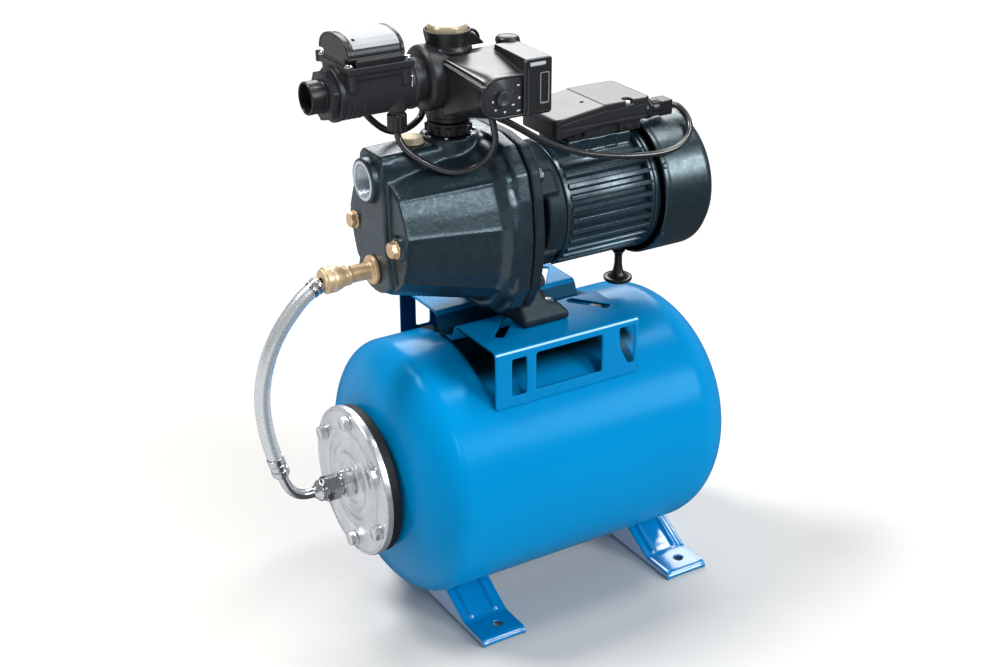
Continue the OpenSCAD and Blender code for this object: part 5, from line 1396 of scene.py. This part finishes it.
def disc_data(x, z, r, y0=-80.7, y1=-80.2, n=20, ry=None):
    return extruded([(x + r * math.cos(2 * math.pi * k / n), z + (ry or r) * math.sin(2 * math.pi * k / n)) for k in range(n)], y0, y1, 0.15, "xz")


dots = [disc_data(x, z, r) for x, z, r in ((-105.8, 569.6, 0.75), (-96.8, 573.6, 0.6), (-87.6, 568.0, 0.75), (-108.3, 561.2, 1.05), (-105.4, 553.2, 1.05), (-95.6, 550.0, 1.15), (-80.4, 561.2, 1.2))]
dash = [extruded(rr_outline(x - w, x + w, z - 0.65, z + 0.65, 0.5, 3), -80.7, -80.2, 0.12, "xz") for x, z, w in ((-86.8, 555.6, 1.5), (-81.4, 573.2, 1.5), (-81.2, 549.3, 1.9))]
v, q = joined(dots[3:] + dash)
to_object("panel_marks", v, q, "mark_pale", slot="label", sharp=40)
v, q = joined(dots[:3])
to_object("panel_marks_dim", v, q, "mark_dim", slot="label", sharp=40)
turned("button_cap", [(0, -82.9), (1.6, -83.1), (4.2, -83.7), (5.6, -84.4), (6.6, -84.4), (7.2, -83.8), (7.2, -83.3), (6.6, -83.1), (5.25, -83.1), (5.25, -78), (0, -78)], "button", "y", (563.4, -98.3), 72,
       False, None, 0.35, 3, 50, body="button", rep=("panel_button",), slot="button")
turned("button_mark", [(0, -83.4), (0.9, -83.4), (1.0, -83.2), (1.0, -82.6), (0, -82.6)], "black_gloss", "y", (564.4, -98.0), 24, False, None, 0, 3, 50, body="button", slot="button")

# ---------------------------------------------------------------- flow switch
HB = 0.78
f = Field(-239, -148.6, -34, 37.5, 524.6, 602.4, HB)
f.add(f.cyl("x", -226, -150.05, 24.3, 0, 567))
f.add(f.box(-224.5, -161, -24.3, 24.3, 567, 591))
f.add(f.rbox(-224.2, -161.4, -27.6, 28.4, 583.4, 590.4, 1.4), 2.0)
f.add(f.rbox(-226, -160, -31, 32.5, 589.5, 597, 1.0), 0.6)
f.add(f.cyl("x", -232, -226, 25.6, 0, 567), 0.4)
f.cut(f.cyl("x", -229.4, -228.7, 26.5, 0, 567) * 1.0 + 50 * (np.hypot(f.Y, f.Z - 567) < 24.9), 0.2)
for x in (-220, -166):
    for s in (-1, 1):
        f.add(f.cyl("z", 574, 591, 4.4, x, s * 25), 1.2)
f.add(f.cyl("z", 546.6, 575, 9.5, -171, -14), 1.6)
f.add(f.cyl("z", 541, 560, 6, -188, 20), 1.2)
for x in (-221.6, -216.6, -211.6, -206.6):
    f.add(np.maximum(f.cyl("x", x - 0.9, x + 0.9, 25.2, 0, 567), f.Z - (563.5 if x < -215 else 560)), 0.6)
f.add(f.rbox(-227.5, -222, 31, 35, 589, 600, 0.8), 0.4)
f.add(f.cyl("x", -237.4, -232, 19.8, 0, 567))
f.add(f.cyl("x", -154.5, -150.05, 25.4, 0, 567), 0.6)
f.soften(1)
f.cut(f.cyl("x", -245, -140, 13.2, 0, 567))
f.cut(f.cyl("z", 520, 560, 3.6, -171, -14))
f.cut(f.cyl("z", 520, 552, 3.6, -188, 20))
from_field("flow_shell", f, "black_plastic", rep=("flow_body",), slot="black_plastic")
f = Field(-228.5, -166.5, -34.5, 34.5, 594.8, 625, HB)
arch = [(0, 621.8), (5.5, 621.5), (11, 620.8), (14.6, 619.9), (18, 618.7), (21.1, 617.1), (23.8, 615.2), (26.2, 612.8), (27.8, 610.2), (28.8, 607.4), (29.0, 604.8), (31.4, 602.4), (31.6, 600.6), (31.6, 597.1)]
arc2 = poly_sd(f.Y.ravel(), f.Z.ravel(), np.array(mirrored(arch + [(0, 597.1)]) if False else mirrored(arch), float)).reshape(1, f.n[1], f.n[2])
f.add(np.maximum(arc2, np.abs(f.X + 197.5) - 28.5))
for c in (-224.2, -170.8):
    f.add(np.maximum(np.maximum(arc2 - 0.75, np.abs(f.X - c) - 1.8), 603.6 - f.Z), 0.2)
f.cut(np.maximum(np.maximum(arc2 + 1.6, np.abs(f.X + 227) - 1.7), 599.5 - f.Z), 0.3)
for x in (-223.5, -165.5):
    for s in (-1, 1):
        f.cut(f.cyl("z", 590, 603.5, 4.8, x, s * 26.6), 0.4)
        f.cut(f.box(x - 4.8 if x > -200 else x - 10, x + 10 if x > -200 else x + 4.8, *sorted((s * 26.6, s * 40)), 590, 603.5), 0.4)
from_field("flow_lid", f, "black_gloss", rep=("flow_cover",), slot="black_plastic")
turned("nut_union", [(15.7, -239.8), (21.2, -239.8), (22.8, -239.0), (25.4, -238.2), (25.4, -233.4), (24.2, -232.3), (20.2, -232.3), (20.2, -238.2), (15.7, -238.2)], "black_plastic", "x", (0, 567), 144, True,
       lambda a, r, t, lim=hexed(44, -76, 0.985): min(lim(a, r, t), r) if r > 20.6 else r, 0.5, 3, 30, body="union", rep=("union_nut",), slot="black_plastic")
turned("spigot_turned", [(13.2, -238), (13.2, -254.6), (13.7, -255.5), (14.7, -255.5), (15.4, -254.7), (15.4, -252.6), (15.2, -252), (15.2, -241), (15.6, -240.4), (15.6, -238)], "black_gloss", "x", (0, 567), 96, False,
       None, 0.4, 3, 50, rep=("outlet_spigot",), slot="black_plastic")
# painted shade: a near-black disc inside the spigot's bore
turned("spigot_inside", [(0, -243), (13.3, -243), (13.3, -242.5), (0, -242.5)], "painted_hole_shade", "x", (0, 567), 48, False, None, 0, slot="black_plastic")
turned("gland_sensor", [(3.4, 526.4), (5.7, 526.4), (6.3, 527), (8.2, 527.8), (9.3, 529.2), (9.3, 542.8), (8.6, 543.8), (7.5, 544.2), (7.4, 546.6), (3.4, 546.6)], "black_gloss", "z", (-171, -14), 144, True,
       lambda a, r, t: r - (0.9 * (0.5 - 0.5 * math.cos(a * 12)) if r > 8.3 and t > 528.5 else 0), 0.3, 3, 40, rep=("cable_glands",), slot="black_plastic")
turned("cover_pin", [(0, 569.5), (1.0, 569.5), (1.2, 570), (1.2, 579.6), (0, 580)], "chrome", "z", (-159.2, -23.9), 20, False, None, 0, slot="zinc")
# painted shade: a near-black disc that marks a hole in the flow cover
turned("label_hole", [(0, 618.2), (1.55, 618.2), (1.55, 619.4), (0, 619.5)], "painted_hole_shade", "z", (-215, -18.5), 20, False, None, 0, slot="black_plastic")

# ---------------------------------------------------------------- terminal box
HT = 0.8
f = Field(-13, 110, -36, 36, 485, 518, HT)
f.add(f.prism("y", [(-8, 493), (46, 500), (104, 498.5), (104, 515), (46, 515), (-8, 508)], -33, 33))
f.cut(-rect_xy(f, -8, 104, -33, 33, 7.5))
f.add(f.box(12, 84, -25, 25, 486.5, 502), 1.0)
f.add(f.box(70, 96, -29, 29, 488.2, 500), 1.0)
for x in (18, 30, 78, 90):
    f.add(f.rbox(x - 3.2, x + 3.2, -31.5, -26, 491.5, 499, 1.0), 0.8)
f.cut(f.box(-20, 120, -40, -32.2, 503.2, 504.0), 0.3)
f.soften(1)
from_field("terminal_shell", f, "black_plastic", rep=("terminal_box",), slot="black_plastic")
f = Field(-14.5, 110.5, -37, 37, 505, 524, HT)
f.add(f.prism("y", [(-9, 507.4), (46, 514.4), (105, 514.4), (105, 520.4), (101.6, 521.6), (48.2, 521.6), (47.4, 520.7), (46, 520.5), (-6.6, 513.9), (-9, 512.6)], -34, 34))
f.cut(-rect_xy(f, -9, 105, -34, 34, 8.5))
f.soften(1)
f.cut(f.prism("y", [(46.5, 524), (48.3, 524), (47.5, 519.9)], -40, 40), 0.2)
f.cut(f.cyl("z", 517, 530, 5, 78, -28.5), 0.4)
f.cut(f.box(73.2, 82.8, -40, -28.5, 517, 530), 0.4)
f.cut(f.cyl("z", 513.5, 530, 1.7, 37.6, -8.5), 0.2)
f.cut(f.box(84.5, 87, -40, -33.2, 512, 525), 0.2)
from_field("lid_shell", f, "lid_plastic", rep=("terminal_lid",), slot="black_plastic")
# painted shade: a near-black disc at the bottom of the hole in the lid
turned("lid_dot", [(0, 513.8), (1.6, 513.8), (1.6, 516.6), (0, 516.6)], "painted_hole_shade", "z", (37.6, -8.5), 20, False, None, 0, slot="black_plastic")
f = Field(99, 136.5, -34, -9.6, 494.4, 515.6, 0.62)
f.add(f.rbox(118, 134, -31, -13, 497, 513, 1.6))
f.add(f.cyl("x", 110, 119, 9, -22, 505), 0.8)
hexp = [(-22 + 20 / math.sqrt(3) * math.cos(math.radians(60 * k - 90)), 505 + 20 / math.sqrt(3) * math.sin(math.radians(60 * k - 90))) for k in range(6)]
f.add(f.prism("x", hexp, 105.1, 110))
f.add(f.cyl("x", 100, 105.2, 9.4, -22, 505))
for x in (121.6, 125.4, 129.2):
    f.cut(f.box(x, x + 1.5, -34, -30.2, 499, 511), 0.4)
    f.cut(f.box(x, x + 1.5, -29, -15, 512.2, 516), 0.4)
f.soften(1)
from_field("gland_block", f, "black_gloss", slot="black_plastic")

# ---------------------------------------------------------------- screws
heads = []
dome_rows = fillet([(0, 0), (4.1, 0), (4.2, 0.6), (3.9, 1.9), (2.9, 3.0), (1.6, 3.5), (0, 3.6)], 0.3)
for x in (-223.5, -165.5):
    for s in (-1, 1):
        heads.append(turned_data([(r, 597.05 + t) for r, t in dome_rows], "z", (x, s * 26.6), 40))
v, q = joined(heads)
to_object("cover_screws", v, q, "chrome", rep=("small_screws",), slot="zinc", sharp=50)
v, q = turned_data(fillet([(0, 516.8), (4.1, 516.8), (4.2, 517.3), (4.0, 518.8), (3.2, 519.5), (0, 519.7)], 0.3), "z", (78, -28.5), 40)
w, e = extruded(rr_outline(74.6, 81.4, -0.45, 0.45, 0.2, 2), 519.55, 519.9, 0.05, "xy")
w[:, 1] += -28.5
to_object("lid_screw", v, q, "zinc", slot="zinc", sharp=50)
# painted shade: a near-black sheet in the screw's slot
to_object("lid_screw_slot", w, e, "painted_hole_shade", slot="black_plastic", sharp=50)
heads = []
for a in (30, 150, 210, 330):
    ca, sa = math.cos(math.radians(a)), math.sin(math.radians(a))
    m_ = Matrix.Translation(Vector((102, 73.5 * ca, 421 + 73.5 * sa))) @ Matrix.Rotation(math.radians(a - 90), 4, "X")
    heads.append(turned_data(fillet([(0, 0), (3.3, 0), (3.4, 0.6), (3, 1.7), (0, 2.2)], 0.3), "z", (0, 0), 32, move=m_))
v, q = joined(heads)
to_object("fan_cover_screws", v, q, "slate_satin", slot="slate_paint", sharp=50)
heads = []
for a in (195, 236, 300, 345):
    x, y = -109 + 25.1 * math.cos(math.radians(a)), 25.1 * math.sin(math.radians(a))
    heads.append(turned_data(fillet([(0, 512.0), (2.1, 512.0), (2.1, 513.2), (1.5, 514), (0, 514.1)], 0.2), "z", (x, y), 28))
v, q = joined(heads)
to_object("ring_screws", v, q, "chrome", slot="zinc", sharp=50)
# painted shade: a near-black ring that fills the gap between the motor's end and the fan cover
lathe("cover_shade", [(56, 101), (71.4, 101), (71.4, 102.2), (56, 102.2)], "painted_hole_shade", "x", (0, 421), segs=96, closed=True, slot="black_plastic")
# the check valve's spring, with closed end turns
turns, step, wire, ring = 6.2, 28, 0.68, 12
count = int(turns * step) + 1
v, q = [], []
for i in range(count):
    u = i / step
    z = 538.25 + 1.45 * min(u, 1) + max(0, min(u, turns - 1) - 1) * 14.0 / (turns - 2) + 1.45 * max(0, u - turns + 1)
    a = 2 * math.pi * u
    for k in range(ring):
        b = 2 * math.pi * k / ring
        r = 6.4 + wire * math.cos(b)
        v.append((-109 + r * math.cos(a), r * math.sin(a), z + wire * math.sin(b)))
for i in range(count - 1):
    for k in range(ring):
        n_ = (k + 1) % ring
        q.append((i * ring + k, (i + 1) * ring + k, (i + 1) * ring + n_, i * ring + n_))
q.append(tuple(range(ring)))
q.append(tuple((count - 1) * ring + k for k in reversed(range(ring))))
coil = to_object("valve_coil", v, q, "steel", rep=("valve_spring",), slot="steel", sharp=60)
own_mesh(coil)


# ---------------------------------------------------------------- light and floor
world = bpy.data.worlds.new("World")
scene.world = world
world.use_nodes = True
wt = world.node_tree
bg = wt.nodes["Background"]
bg.inputs["Strength"].default_value = 1.0
wc = wt.nodes.new("ShaderNodeTexCoord")
ws = wt.nodes.new("ShaderNodeSeparateXYZ")
wt.links.new(wc.outputs["Generated"], ws.inputs["Vector"])
def ramp(stops):
    r = wt.nodes.new("ShaderNodeValToRGB")
    while len(r.color_ramp.elements) < len(stops):
        r.color_ramp.elements.new(0.5)
    for e_, (p_, c_) in zip(r.color_ramp.elements, stops):
        e_.position = p_
        e_.color = (*c_, 1)
    return r


def unit_range(out):
    m_ = wt.nodes.new("ShaderNodeMapRange")
    m_.inputs["From Min"].default_value = -1.0
    m_.inputs["From Max"].default_value = 1.0
    wt.links.new(out, m_.inputs["Value"])
    return m_.outputs["Result"]


# a bright table to the left and behind, a dark one to the right and in front, an even ceiling
side = ramp([(0.30, (0.82, 0.83, 0.86)), (0.52, (0.09, 0.095, 0.105))])
wt.links.new(unit_range(ws.outputs["X"]), side.inputs["Fac"])
mixf = ramp([(0.47, (0, 0, 0)), (0.56, (1, 1, 1))])
wt.links.new(unit_range(ws.outputs["Z"]), mixf.inputs["Fac"])
mix = wt.nodes.new("ShaderNodeMix")
mix.data_type = "RGBA"
wt.links.new(mixf.outputs["Color"], mix.inputs["Factor"])
wt.links.new(side.outputs["Color"], mix.inputs["A"])
mix.inputs["B"].default_value = (0.29, 0.297, 0.305, 1)
wt.links.new(mix.outputs["Result"], bg.inputs["Color"])


def sun(name, az, el, angle, power, color=(1, 1, 1)):
    """a far soft light; az is measured from the front (-Y) towards the motor (+X)"""
    d = bpy.data.lights.new(name, "SUN")
    d.angle = math.radians(angle)
    d.energy = power
    d.color = color
    o = bpy.data.objects.new(name, d)
    scene.collection.objects.link(o)
    a_, e_ = math.radians(az), math.radians(el)
    to = Vector((math.sin(a_) * math.cos(e_), -math.cos(a_) * math.cos(e_), math.sin(e_)))
    o.rotation_euler = (-to).to_track_quat("-Z", "Y").to_euler()
    o.location = to * 3
    return o


sun("back", 147, 35, 40, 2.15)
sun("front", 7, 35, 19, 0.9, (0.88, 0.96, 1.0))
sun("side", 40, 24, 22, 1.5, (0.90, 0.97, 1.0))
sun("above", -128, 60, 16, 2.3)
sun("web", 80, 62, 14, 0.8)

bm = bmesh.new()
bmesh.ops.create_grid(bm, x_segments=8, y_segments=8, size=6.0)
me = bpy.data.meshes.new("floor")
bm.to_mesh(me)
bm.free()
floor = bpy.data.objects.new("floor", me)
scene.collection.objects.link(floor)
floor.location = (0, 0, -0.0005)
me.materials.append(MATS["floor"])
floor.visible_glossy = False

# a plain white backdrop far behind the floor, which neither lights nor shades anything
white = bpy.data.materials.new("backdrop")
white.use_nodes = True
wn = white.node_tree
wn.nodes.clear()
we = wn.nodes.new("ShaderNodeEmission")
we.inputs["Color"].default_value = (1, 1, 1, 1)
wo = wn.nodes.new("ShaderNodeOutputMaterial")
wn.links.new(we.outputs["Emission"], wo.inputs["Surface"])
white.cycles.emission_sampling = "NONE"
bm = bmesh.new()
bmesh.ops.create_uvsphere(bm, u_segments=48, v_segments=24, radius=9.0)
me = bpy.data.meshes.new("backdrop")
bm.to_mesh(me)
bm.free()
backdrop = bpy.data.objects.new("backdrop", me)
scene.collection.objects.link(backdrop)
me.materials.append(white)
for flag in ("visible_diffuse", "visible_glossy", "visible_transmission", "visible_volume_scatter", "visible_shadow"):
    setattr(backdrop, flag, False)
